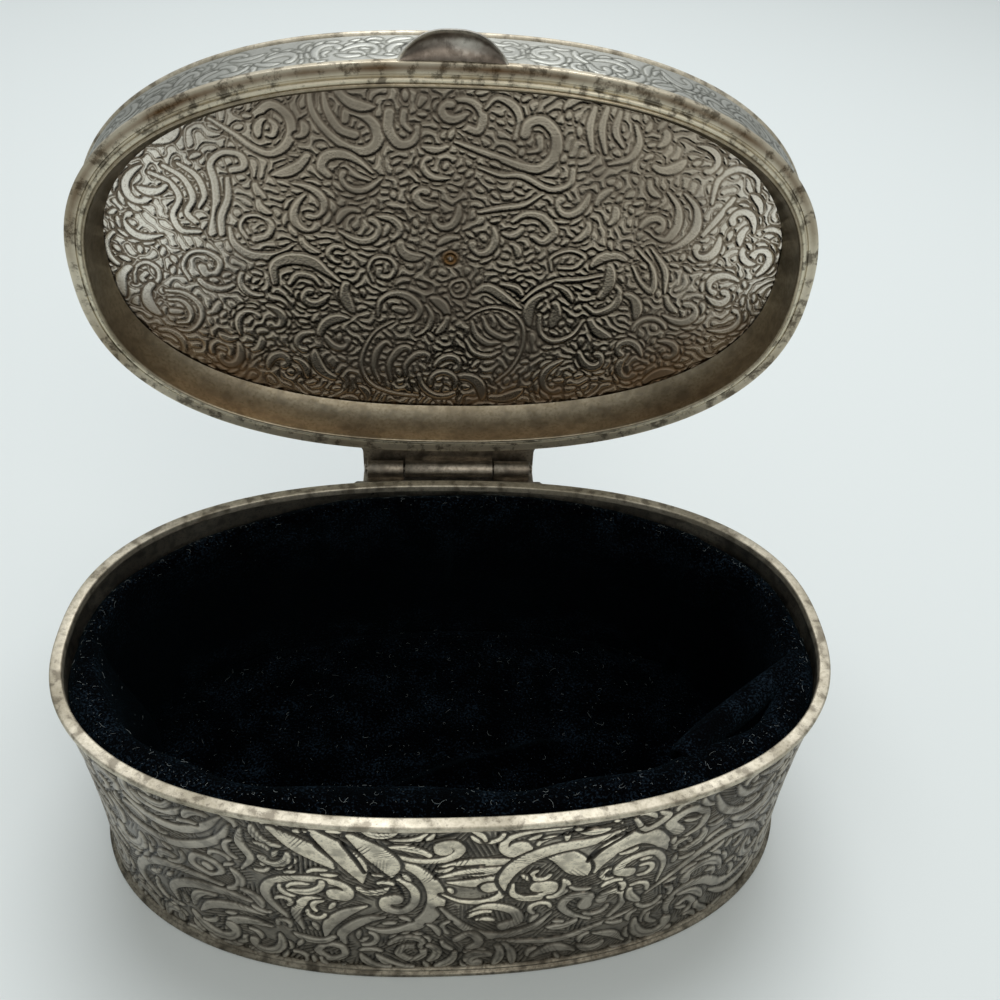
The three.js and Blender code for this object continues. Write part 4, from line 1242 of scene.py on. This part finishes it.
# Outer top of the lid: how high its shapes stand, in mm, and its motifs
LID_TOP_RISE = 0.28
LID_TOP_MOTIFS = [
    ("frond", 900, 17, 1.6), ("frond", 1500, 11, 1.1), ("leaf", 2000, 7, 1), ("ribbon", 2000, 7, 0.6),
    ("leaf", 5000, 4.4, 0.7), ("pebble", 4000, 2.4, 0.6),
]


def make_lid_top():
    """The lid's domed outer top: chased scrolls on a hatched ground."""
    low, high = shut_box("lid_top")
    draw = np.random.default_rng(8)
    relief = disc_relief(high[0] - 1, high[1] - 1, draw, [], LID_TOP_MOTIFS, gap=0.42)
    for x, y, turn, pitch in draw.random((500, 4)):
        centre = (high[0] * (2 * x - 1), high[1] * (2 * y - 1))
        relief.hatch(centre, (4, 3), turn * math.pi, pitch=0.75 + 0.25 * pitch, depth=0.14)
    relief.finish(rise=LID_TOP_RISE, groove=0.22, ground=0.34)
    edge = low[2] + SHEET - 1.3 * LID_TOP_RISE
    crown = high[2] - low[2] - SHEET
    mesh, points, _ = relief_disc(
        "lid_cover", relief, high[0], high[1], (-1, 1), edge, crown, columns=380, rows=215, side=1,
        thick=SHEET)
    add_piece("lid_cover", mesh, points, "lid", PEWTER, ["lid_top"], soft_angle=60)


# Velvet: a loose sleeve round the wall, a pad on the floor and a rolled fold. Sizes in mm. SHOULDER_MOST is
# the largest radius of the sleeve's shoulder, which begins at 1 / SIDE_SHARE of its section's rise
LINING_BACK = 0.9
LINING_FLOOR = box_mm("floor_card")[1][2]
LINING_THICK = 2.9
LINING_AROUND = 64
LINING_STEPS = 380
SHOULDER_MOST = 2.3
SIDE_SHARE = 1.7

# Where the velvet stops, by run: close under the rim in front and behind, slipped down round both ends
LINING_TOP_RUNS = [-170, -150, -128, -108, -92, -70, -40, 40, 70, 88, 104, 125, 150, 170]
LINING_TOPS = [44.8, 44.4, 42, 41.4, 42.4, 44, 44.7, 44.7, 44.2, 42.8, 42.6, 43.4, 44.7, 44.8]

# How thick its slack is rolled below the rim, by run
ROLL_RUNS = [-96, -84, -66, -58, -40, -22, -8, 10, 26, 41, 46, 52, 62, 74, 84, 92]
ROLL_WIDTHS = [2.9, 3.4, 4.2, 4.6, 5.4, 6.6, 7.4, 6.6, 6.8, 7, 7, 6.8, 5.4, 4, 3.4, 2.9]

# Where its laps end
RIGHT_LAP_RUN = 116
LEFT_LAP_RUN = -85

# The swelling of the velvet, solved on a small copy so that it settles in a few frames
CLOTH_SCALE = 0.05
CLOTH_FRAMES = 14


def lining_thickness(run, height):
    """The velvet's thickness: rolled slack in front, a lap at each end and soft folds."""
    rolled = np.interp(run, ROLL_RUNS, ROLL_WIDTHS) - LINING_THICK
    rolled = rolled * rise_from(height, 24, 37)
    right_lap = 1.5 * rise_from(run, 52, 72) * rise_from(-run, -RIGHT_LAP_RUN - 0.7, -RIGHT_LAP_RUN + 0.7)
    left_edge = LEFT_LAP_RUN - 5 * rise_from(-height, -44, -10)
    belly = 1.5 + 2.4 * rise_from(-height, -40, -16)
    left_lap = belly * rise_from(run, left_edge - 0.8, left_edge + 0.8) * rise_from(-run, 40, 66)
    slack = 0.5 * np.sin(run / 6.1 + 0.6) * np.sin(height / 8.5 + run / 31)
    slack += 0.4 * np.sin(run / 3.7 - height / 9) * rise_from(height, 4, 20)
    return LINING_THICK + rolled + right_lap + left_lap + slack


def ring_of_turns(name, steps, around):
    """A ring to be bent into a sleeve.

    With its mesh come the run of each point, and its turn round the section as a share.
    """
    reach = 10
    bm = bmesh.new()
    bmesh.ops.create_circle(bm, segments=around, radius=1)
    bmesh.ops.rotate(bm, verts=bm.verts, cent=(0, 0, 0), matrix=Matrix.Rotation(math.pi / 2, 3, "X"))
    bmesh.ops.translate(bm, verts=bm.verts, vec=(reach, 0, 0))
    bmesh.ops.spin(
        bm, geom=bm.verts[:] + bm.edges[:], cent=(0, 0, 0), axis=(0, 0, 1),
        angle=2 * math.pi, steps=steps, use_merge=True,
    )
    mesh = to_mesh(name, bm)
    points = coordinates(mesh)
    radius = np.hypot(points[:, 0], points[:, 1])
    share = (np.arctan2(points[:, 1], points[:, 0]) / (2 * math.pi) + 0.5) % 1
    turn = (np.arctan2(points[:, 2], radius - reach) / (2 * math.pi)) % 1
    return mesh, (share - 0.5) * PERIMETER, turn


def puffed(mesh, points, held, pressure, growth, cap):
    """Lets the velvet swell and wrinkle as cloth under pressure. The points held stay where they are.

    growth is the share by which the cloth is cut too large, and cap the furthest in mm that a point may move.
    """
    trial = mesh.copy()
    place_points(trial, points * CLOTH_SCALE)
    cloth_piece = bpy.data.objects.new("cloth_trial", trial)
    bpy.context.scene.collection.objects.link(cloth_piece)
    group = cloth_piece.vertex_groups.new(name="held")
    for index in np.flatnonzero(held):
        group.add([int(index)], 1, "REPLACE")
    cloth = cloth_piece.modifiers.new("cloth", "CLOTH")
    cloth.settings.quality = 4
    cloth.settings.mass = 0.3
    cloth.settings.vertex_group_mass = "held"
    cloth.settings.shrink_min = -growth
    cloth.settings.use_pressure = True
    cloth.settings.uniform_pressure_force = pressure
    cloth.settings.bending_stiffness = 0.2
    cloth.settings.effector_weights.gravity = 0
    cloth.point_cache.frame_start = 1
    cloth.point_cache.frame_end = CLOTH_FRAMES
    scene = bpy.context.scene
    for frame_number in range(1, CLOTH_FRAMES + 1):
        scene.frame_set(frame_number)
    graph = bpy.context.evaluated_depsgraph_get()
    settled = coordinates(cloth_piece.evaluated_get(graph).data) / CLOTH_SCALE
    scene.frame_set(1)
    bpy.data.objects.remove(cloth_piece)
    move = settled - points
    length = np.maximum(np.linalg.norm(move, axis=1, keepdims=True), TINY)
    return points + move * np.minimum(1, cap / length)


def soften_piece(piece):
    """Subdivides a piece of cloth once."""
    smooth = piece.modifiers.new("smooth", "SUBSURF")
    smooth.levels = 1
    smooth.render_levels = 1


def make_side_lining():
    """The velvet sleeve: each ring of its section runs up the wall, over a round shoulder and down again."""
    mesh, run, turn = ring_of_turns("velvet_sleeve", LINING_STEPS, LINING_AROUND)
    low = LINING_FLOOR + 0.1
    top = np.interp(run, LINING_TOP_RUNS, LINING_TOPS) + 0.25 * np.sin(run / 4.3) * np.sin(run / 17)
    angle = 2 * math.pi * turn
    up = np.sin(angle)
    shoulder = np.minimum(lining_thickness(run, top) / 2, SHOULDER_MOST)
    straight = (top - shoulder - low) / 2
    height = low + straight * (1 + np.clip(up * SIDE_SHARE, -1, 1))
    over = np.clip((up - 1 / SIDE_SHARE) / (1 - 1 / SIDE_SHARE), 0, 1)
    cap_angle = over * math.pi / 2
    height = height + shoulder * np.sin(cap_angle)
    thickness = lining_thickness(run, height)
    half = thickness / 2
    across = np.where(over > 0, half * np.cos(cap_angle), half)
    depth = half + np.where(np.cos(angle) < 0, across, -across)
    ends, sides = wall_inset(height)
    inset = LINING_BACK + depth
    x, y = oval_point(angle_at(run), HALF_LENGTH - ends - inset, HALF_WIDTH - sides - inset)
    points = np.stack([x, y, height], 1)
    held = (depth < 0.35 * thickness) | (height < low + 1)
    points = puffed(mesh, points, held, pressure=0.6, growth=0.03, cap=0.9)
    sleeve = add_piece(
        "velvet_sleeve", mesh, points, "box_body", VELVET, ["side_lining"], soft_angle=180)
    soften_piece(sleeve)


def oval_sheet(name, columns, rows):
    """A flat disc of two layers: its mesh, the place of each point on a unit disc, and which are on top."""
    bm = bmesh.new()
    bmesh.ops.create_grid(bm, x_segments=columns, y_segments=rows, size=1)
    bmesh.ops.solidify(bm, geom=bm.faces[:], thickness=0.5)
    mesh = to_mesh(name, bm)
    flat = coordinates(mesh)
    across, along = on_disc(np.clip(flat[:, 0], -1, 1), np.clip(flat[:, 1], -1, 1))
    front = np.abs(flat[:, 2] - flat[:, 2].max()) < 0.1
    return mesh, across, along, front


# The pad, in mm: its crown, how far its edge is tucked down, and the ridge along a crease in it
PAD_CROWN = 1.9
PAD_TUCK = 1.8
PAD_RIDGE = 1.7
CREASE = [(-14, -8.6), (-8, -7), (4, -2), (18, 1.5), (27, 2)]


def make_floor_pad():
    """The padded velvet floor, crowned and creased, with its edge tucked down."""
    mesh, across, along, front = oval_sheet("velvet_pad", columns=130, rows=72)
    high = box_mm("floor_pad")[1]
    radius = np.hypot(across, along)
    angle = np.arctan2(along, across)
    x, y = oval_point(angle, (high[0] + 1) * radius, (high[1] + 1) * radius)
    edge = high[2] - 2.2
    crown = edge + PAD_CROWN * (1 - np.clip(radius, 0, 1) ** 2.4)
    tucked = rise_from(radius, 0.88, 1) ** 2 * PAD_TUCK
    line_x, line_y = np.array(CREASE).T
    off = y - np.interp(x, line_x, line_y)
    fade = rise_from(x, -16, -8) * rise_from(-x, -29, -18)
    ridge = PAD_RIDGE * np.exp(-np.where(off < 0, -off / 4.5, (off / 0.8) ** 2)) * fade
    slack = 0.35 * np.sin(x / 5.3 + y / 7) * np.sin(y / 4.1 - x / 13)
    top = crown - tucked + (ridge + slack) * (1 - radius**4)
    lowest = LINING_FLOOR + 0.05
    points = np.stack([x, y, np.where(front, top, lowest)], 1)
    points = puffed(mesh, points, ~front, pressure=0.3, growth=0.02, cap=0.8)
    points[:, 2] = np.maximum(points[:, 2], lowest)
    pad = add_piece(
        "velvet_pad", mesh, points, "box_body", VELVET, ["floor_pad"], soft_angle=180)
    soften_piece(pad)


# The fold at the front right: a rolled edge of velvet with an open end. Its route and radii are in mm, and
# FOLD_TIGHTENING is the share of its radius that it loses up to its inner end
FOLD_ROUTE = [
    (61, -3.2, 42.2), (58.2, -6.6, 42.6), (52.4, -11.2, 42.5), (47.2, -15.2, 42.4), (42.4, -18.9, 42.4),
    (38.4, -22.2, 42.3), (36, -24.4, 42),
]
FOLD_RADII = [1.2, 2, 2.5, 2.7, 2.7, 2.6, 2.4]
FOLD_TURNS = 1.6
FOLD_TIGHTENING = 0.55
FOLD_COLUMNS = 44


def make_rolled_fold():
    """The velvet's loose front edge, rolled in on itself along its route."""
    route, radii = smooth_line(FOLD_ROUTE, FOLD_RADII, 8)
    stations = range(len(route))
    turns = np.linspace(0, 2 * math.pi * FOLD_TURNS, FOLD_COLUMNS)
    bm = bmesh.new()
    bmesh.ops.create_grid(bm, x_segments=len(turns) - 1, y_segments=len(route) - 1, size=0.5)
    mesh = to_mesh("velvet_fold", bm)
    flat = coordinates(mesh)
    column = (flat[:, 0] + 0.5) * (len(turns) - 1)
    row = (flat[:, 1] + 0.5) * (len(route) - 1)
    centre = np.stack([np.interp(row, stations, route[:, axis]) for axis in range(3)], 1)
    radius = np.interp(row, stations, radii)
    heading = np.gradient(route, axis=0)
    heading = np.stack([np.interp(row, stations, heading[:, axis]) for axis in range(2)], 1)
    heading /= np.linalg.norm(heading, axis=1, keepdims=True)
    turn = np.interp(column, range(len(turns)), turns)
    out = radius * (1 - FOLD_TIGHTENING * turn / turns[-1])
    swing = turn - math.pi * 0.6
    sideways = np.stack([-heading[:, 1], heading[:, 0]], 1)
    points = centre.copy()
    points[:, :2] += sideways * (out * np.cos(swing))[:, None]
    points[:, 2] += out * np.sin(swing)
    fold = add_piece("velvet_fold", mesh, points, "box_body", VELVET, soft_angle=180)
    thickness = fold.modifiers.new("thickness", "SOLIDIFY")
    thickness.thickness = 0.5 * MM
    thickness.offset = 0
    soften_piece(fold)


# Lint: how many steps make a fibre, how many fibres lie on each piece of velvet, and their radius in mm
LINT_STEPS = 4
LINT_ON_EACH = 850
LINT_RADIUS = 0.02


def make_lint():
    """Fibres that lie on the velvet: thin three-sided threads on points of its upper side."""
    draw = np.random.default_rng(21)
    spots = []
    for name, least_up in (("velvet_pad", 0.6), ("velvet_sleeve", 0.1)):
        piece = bpy.data.objects[name]
        points = coordinates(piece.data)
        ways = np.empty(len(points) * 3)
        piece.data.vertex_normals.foreach_get("vector", ways)
        ways = ways.reshape(-1, 3)
        upward = np.flatnonzero(ways[:, 2] > least_up)
        chosen = draw.choice(upward, LINT_ON_EACH, replace=False)
        spots.append(np.hstack([points[chosen] / MM, ways[chosen]]))
    spots = np.concatenate(spots)
    bm = bmesh.new()
    for _ in spots:
        bmesh.ops.create_grid(bm, x_segments=3, y_segments=LINT_STEPS, size=0.5)
    mesh = to_mesh("lint", bm)
    flat = coordinates(mesh)
    which = np.arange(len(flat)) // (4 * (LINT_STEPS + 1))
    spot, way = spots[which, :3], spots[which, 3:]
    turn = draw.random(len(spots))[which] * 2 * math.pi
    length = (0.15 + 1.5 * draw.random(len(spots)) ** 6)[which]
    bend = draw.normal(0, 1.2, len(spots))[which]
    along = flat[:, 1]
    heading = turn + bend * along
    flatways = np.stack([np.cos(heading), np.sin(heading), 0 * heading], 1)
    flatways -= way * (flatways * way).sum(1, keepdims=True)
    sideways = np.cross(way, flatways)
    round_turn = 2 * math.pi * (flat[:, 0] + 0.5)
    points = spot + flatways * (along * length)[:, None]
    lift = way * (0.2 + LINT_RADIUS * np.sin(round_turn))[:, None]
    points += lift + sideways * (LINT_RADIUS * np.cos(round_turn))[:, None]
    add_piece("lint", mesh, points, "box_body", LINT, soft_angle=60)


# Hinge: three knuckles round a pin. WEB_REACH is how far back a knuckle's web goes, as a share of its radius
KNUCKLE_RADIUS = 1.65
KNUCKLE_GAP = 0.3
KNUCKLE_CURL = 0.9
WEB_REACH = 0.6
PIN_RADIUS = 0.55
PIN_HEAD = 0.4
MIDDLE_KNUCKLE = 17.5
OUTER_KNUCKLE = 7.15
LEAF_THICK = 0.9
LEAF_HALF = 17.15
LEDGE_CORNER = 1.1
CURVE_STEPS = 16


def extruded(bm, face, vec):
    """Pulls a face out into a solid."""
    grown = bmesh.ops.extrude_face_region(bm, geom=[face])["geom"]
    verts = [g for g in grown if isinstance(g, bmesh.types.BMVert)]
    bmesh.ops.translate(bm, verts=verts, vec=vec)


def eased(bm, width, least_turn=0.6):
    """Rounds off the sharp edges of a piece."""
    bmesh.ops.recalc_face_normals(bm, faces=bm.faces)
    sharp = [e for e in bm.edges if e.is_manifold and e.calc_face_angle(0) > least_turn]
    bmesh.ops.bevel(
        bm, geom=sharp, offset=width, affect="EDGES", segments=2, profile=0.5, material=-1,
        clamp_overlap=True)


def plate(name, outline, bottom, top, ease):
    """A flat plate with this outline, its edges eased."""
    bm = bmesh.new()
    corners = [bm.verts.new((x, y, bottom)) for x, y in outline]
    extruded(bm, bm.faces.new(corners), (0, 0, top - bottom))
    eased(bm, ease)
    mesh = to_mesh(name, bm)
    return mesh, coordinates(mesh)


def knuckle(name, from_x, to_x, leaf_z, side):
    """A leaf's sheet rolled round the pin: a barrel with the web that joins it to the leaf.

    side is +1 where the leaf lies above the pin and -1 where it lies below.
    """
    bm = bmesh.new()
    web_front = HINGE_Y - KNUCKLE_RADIUS * math.cos(KNUCKLE_CURL)
    web_back = HINGE_Y + WEB_REACH * KNUCKLE_RADIUS
    turn_off = math.asin(WEB_REACH)
    angles = side * np.linspace(-math.pi - KNUCKLE_CURL, math.pi / 2 - turn_off, 40)
    outline = [
        (HINGE_Y + KNUCKLE_RADIUS * math.cos(a), HINGE_Z + KNUCKLE_RADIUS * math.sin(a)) for a in angles]
    outline += [(web_back, leaf_z), (web_front, leaf_z)]
    corners = [bm.verts.new((from_x, y, z)) for y, z in outline]
    extruded(bm, bm.faces.new(corners), (to_x - from_x, 0, 0))
    eased(bm, 0.14, 0.9)
    mesh = to_mesh(name, bm)
    return mesh, coordinates(mesh)


def rim_curve(from_x, to_x, inset):
    """Points of the oval's back edge from one x to another."""
    x = np.linspace(from_x, to_x, CURVE_STEPS + 1)
    return list(zip(x, half_width_at(x, inset)))


def joined(name, parts):
    """One mesh of several closed parts."""
    bm = bmesh.new()
    for mesh, points in parts:
        place_points(mesh, points)
        bm.from_mesh(mesh)
    whole = to_mesh(name, bm)
    return whole, coordinates(whole)


def make_body_leaf():
    """The ledge behind the body's rim, with the two outer knuckles below it."""
    low, high = box_mm("body_hinge_leaf")
    bottom, top = low[2], low[2] + LEAF_THICK
    half_ledge, rear, _ = high
    ledge_y = HALF_WIDTH + 1.7
    outline = rim_curve(-half_ledge, half_ledge, 0.7)
    outline += [(half_ledge, ledge_y - LEDGE_CORNER), (half_ledge - LEDGE_CORNER, ledge_y)]
    outline += [(LEAF_HALF, ledge_y), (LEAF_HALF, rear)]
    outline += [(-x, y) for x, y in outline[:-5:-1]]
    parts = [plate("ledge", outline, bottom, top, 0.18)]
    inner = MIDDLE_KNUCKLE / 2 + KNUCKLE_GAP
    for sign in (-1, 1):
        ends = sorted((sign * inner, sign * (inner + OUTER_KNUCKLE)))
        parts.append(knuckle("outer_knuckle", *ends, (bottom + top) / 2, -1))
    mesh, points = joined("hinge_ledge", parts)
    add_piece("hinge_ledge", mesh, points, "box_body", BROWN, ["body_hinge_leaf"])


def make_lid_leaf():
    """The lid's leaf, its sides flared at the front, with the middle knuckle."""
    half_length = shut_box("lid_hinge_leaf")[1][0]
    bottom = HINGE_Z + KNUCKLE_RADIUS + KNUCKLE_GAP
    top = bottom + LEAF_THICK
    spread = half_length - LEAF_HALF
    front = HALF_WIDTH - 1.1 + spread
    back = HINGE_Y + KNUCKLE_RADIUS
    flare = np.radians(np.linspace(0, 90, 7))
    outline = rim_curve(-half_length, half_length, 1.5)
    outline += [
        (LEAF_HALF + spread - spread * math.sin(a), front - spread * math.cos(a)) for a in flare]
    outline += [(LEAF_HALF, back), (-LEAF_HALF, back)]
    outline += [
        (-LEAF_HALF - spread + spread * math.sin(a), front - spread * math.cos(a)) for a in flare[::-1]]
    parts = [plate("leaf", outline, bottom, top, 0.15)]
    half = MIDDLE_KNUCKLE / 2
    parts.append(knuckle("middle_knuckle", -half, half, (bottom + top) / 2, 1))
    mesh, points = joined("lid_leaf", parts)
    add_piece("lid_leaf", mesh, points, "lid", BROWN, ["lid_hinge_leaf"])


def make_pin():
    """The hinge pin, with low domed ends."""
    half = box_mm("hinge_pin")[1][0]
    profile = [(0, 0), (0.55, 0.02), (0.85, 0.16), (0.95, PIN_HEAD), (PIN_RADIUS, PIN_HEAD)]
    bm = bmesh.new()
    corners = [bm.verts.new((x - half, radius, 0)) for radius, x in profile]
    corners += [bm.verts.new((half - x, radius, 0)) for radius, x in profile[::-1]]
    lines = [bm.edges.new(pair) for pair in zip(corners, corners[1:])]
    bmesh.ops.spin(
        bm, geom=corners + lines, cent=(0, 0, 0), axis=(1, 0, 0), angle=2 * math.pi, steps=32, use_merge=True)
    bmesh.ops.remove_doubles(bm, verts=bm.verts, dist=POLE_MERGE)
    bmesh.ops.translate(bm, verts=bm.verts, vec=(0, HINGE_Y, HINGE_Z))
    mesh = to_mesh("pin", bm)
    add_piece("pin", mesh, coordinates(mesh), "box_body", BROWN, ["hinge_pin"])


# Thumb tab: a half moon beaten hollow, its edge turned up into a bright lip. Sizes in mm
TAB_ROOT = 1.15
TAB_REACH = 4.4
TAB_DISH = 1.5
TAB_THICK = 0.6


def make_tab():
    """The half moon: two layers, domed between their root at the rim and their rounded edge."""
    low, high = shut_box("thumb_tab")
    bm = bmesh.new()
    bmesh.ops.create_grid(bm, x_segments=96, y_segments=28, size=1)
    bmesh.ops.solidify(bm, geom=bm.faces[:], thickness=0.5)
    mesh = to_mesh("tab", bm)
    flat = coordinates(mesh)
    u = flat[:, 0]
    v = (flat[:, 1] + 1) / 2
    upper = np.abs(flat[:, 2]) > 0.25
    outline = TAB_REACH * (1 - np.abs(u) ** 2.6) ** 0.9
    x = high[0] * u
    y = -half_width_at(x, TAB_ROOT) - (outline + 0.02) * v
    near_edge = hump((1 - v) * outline, 0, 0.5)
    dome = TAB_DISH * (1 - u**2) * np.sin(math.pi * (0.04 + 0.9 * v)) ** 0.8
    z = low[2] + 0.05 + dome * (1 - 0.7 * near_edge) + upper * TAB_THICK
    patch = np.exp(-(((u - 0.25) / 0.4) ** 2) - ((v - 0.5) / 0.35) ** 2)
    store(mesh, "tone", np.where(upper, 0.6, 0.25 + 0.4 * patch + 1.2 * near_edge))
    points = np.stack([x, y, z], 1)
    add_piece("tab", mesh, points, "lid", TAB_METAL, ["thumb_tab"], soft_angle=70)


# Stage: floor and lights
def make_stage():
    """A floor of pale, matt paper with a faint tooth."""
    bm = bmesh.new()
    bmesh.ops.create_grid(bm, x_segments=1, y_segments=1, size=3)
    mesh = to_mesh("floor", bm)
    floor = bpy.data.objects.new("floor", mesh)
    bpy.context.scene.collection.objects.link(floor)
    material, tree = new_material("pale_paper_floor")
    place = add(tree, "ShaderNodeTexCoord")
    tooth = add(tree, "ShaderNodeTexNoise", {
        "Vector": (place, "Object"), "Scale": per_mm(1.2), "Detail": 2.0})
    bump = add(tree, "ShaderNodeBump", {"Height": (tooth, 0), "Strength": 0.15, "Distance": 0.1 * MM})
    shader = add(tree, "ShaderNodeBsdfPrincipled", {
        "Base Color": linear("#dfe4e3"), "Roughness": 0.7, "Normal": (bump, 0)})
    add(tree, "ShaderNodeOutputMaterial", {"Surface": (shader, 0)})
    mesh.materials.append(material)


def add_lamp(name, place, aim, size, power, colour):
    """A round lamp, its place and size in metres and its power in watts."""
    data = bpy.data.lights.new(name, "AREA")
    data.shape = "DISK"
    data.size = size
    data.energy = power
    data.color = linear(colour)[:3]
    lamp = bpy.data.objects.new(name, data)
    lamp.location = place
    lamp.rotation_mode = "QUATERNION"
    lamp.rotation_quaternion = (Vector(aim) - Vector(place)).to_track_quat("-Z", "Y")
    bpy.context.scene.collection.objects.link(lamp)


def make_lights():
    """A pale room, a window high behind the box and a soft fill from the front."""
    world = bpy.data.worlds.new("studio")
    world.use_nodes = True
    tree = world.node_tree
    tree.nodes.clear()
    sky = add(tree, "ShaderNodeBackground", {"Color": linear("#e9eeee"), "Strength": 0.52})
    add(tree, "ShaderNodeOutputWorld", {"Surface": (sky, 0)})
    bpy.context.scene.world = world
    add_lamp("window", place=(0.02, 0.36, 0.85), aim=(0, 0.04, 0), size=0.55, power=4.95, colour="#fafcff")
    add_lamp("fill", place=(0.25, -0.7, 0.8), aim=(0, 0, 0.03), size=0.7, power=2.1, colour="#fffaf2")


make_camera()
make_stage()
make_lights()
make_wall()
make_body_rim()
make_foot()
make_base()
make_lid_rim()
make_collar()
make_edge_wire()
make_band()
make_panel()
make_lid_top()
make_side_lining()
make_floor_pad()
make_rolled_fold()
make_lint()
make_body_leaf()
make_lid_leaf()
make_pin()
make_tab()

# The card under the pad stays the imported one
floor_card = frame["nodes"]["floor_card"]
floor_card.data.materials.clear()
floor_card.data.materials.append(CARD)

bpy.context.scene.view_settings.view_transform = "Standard"
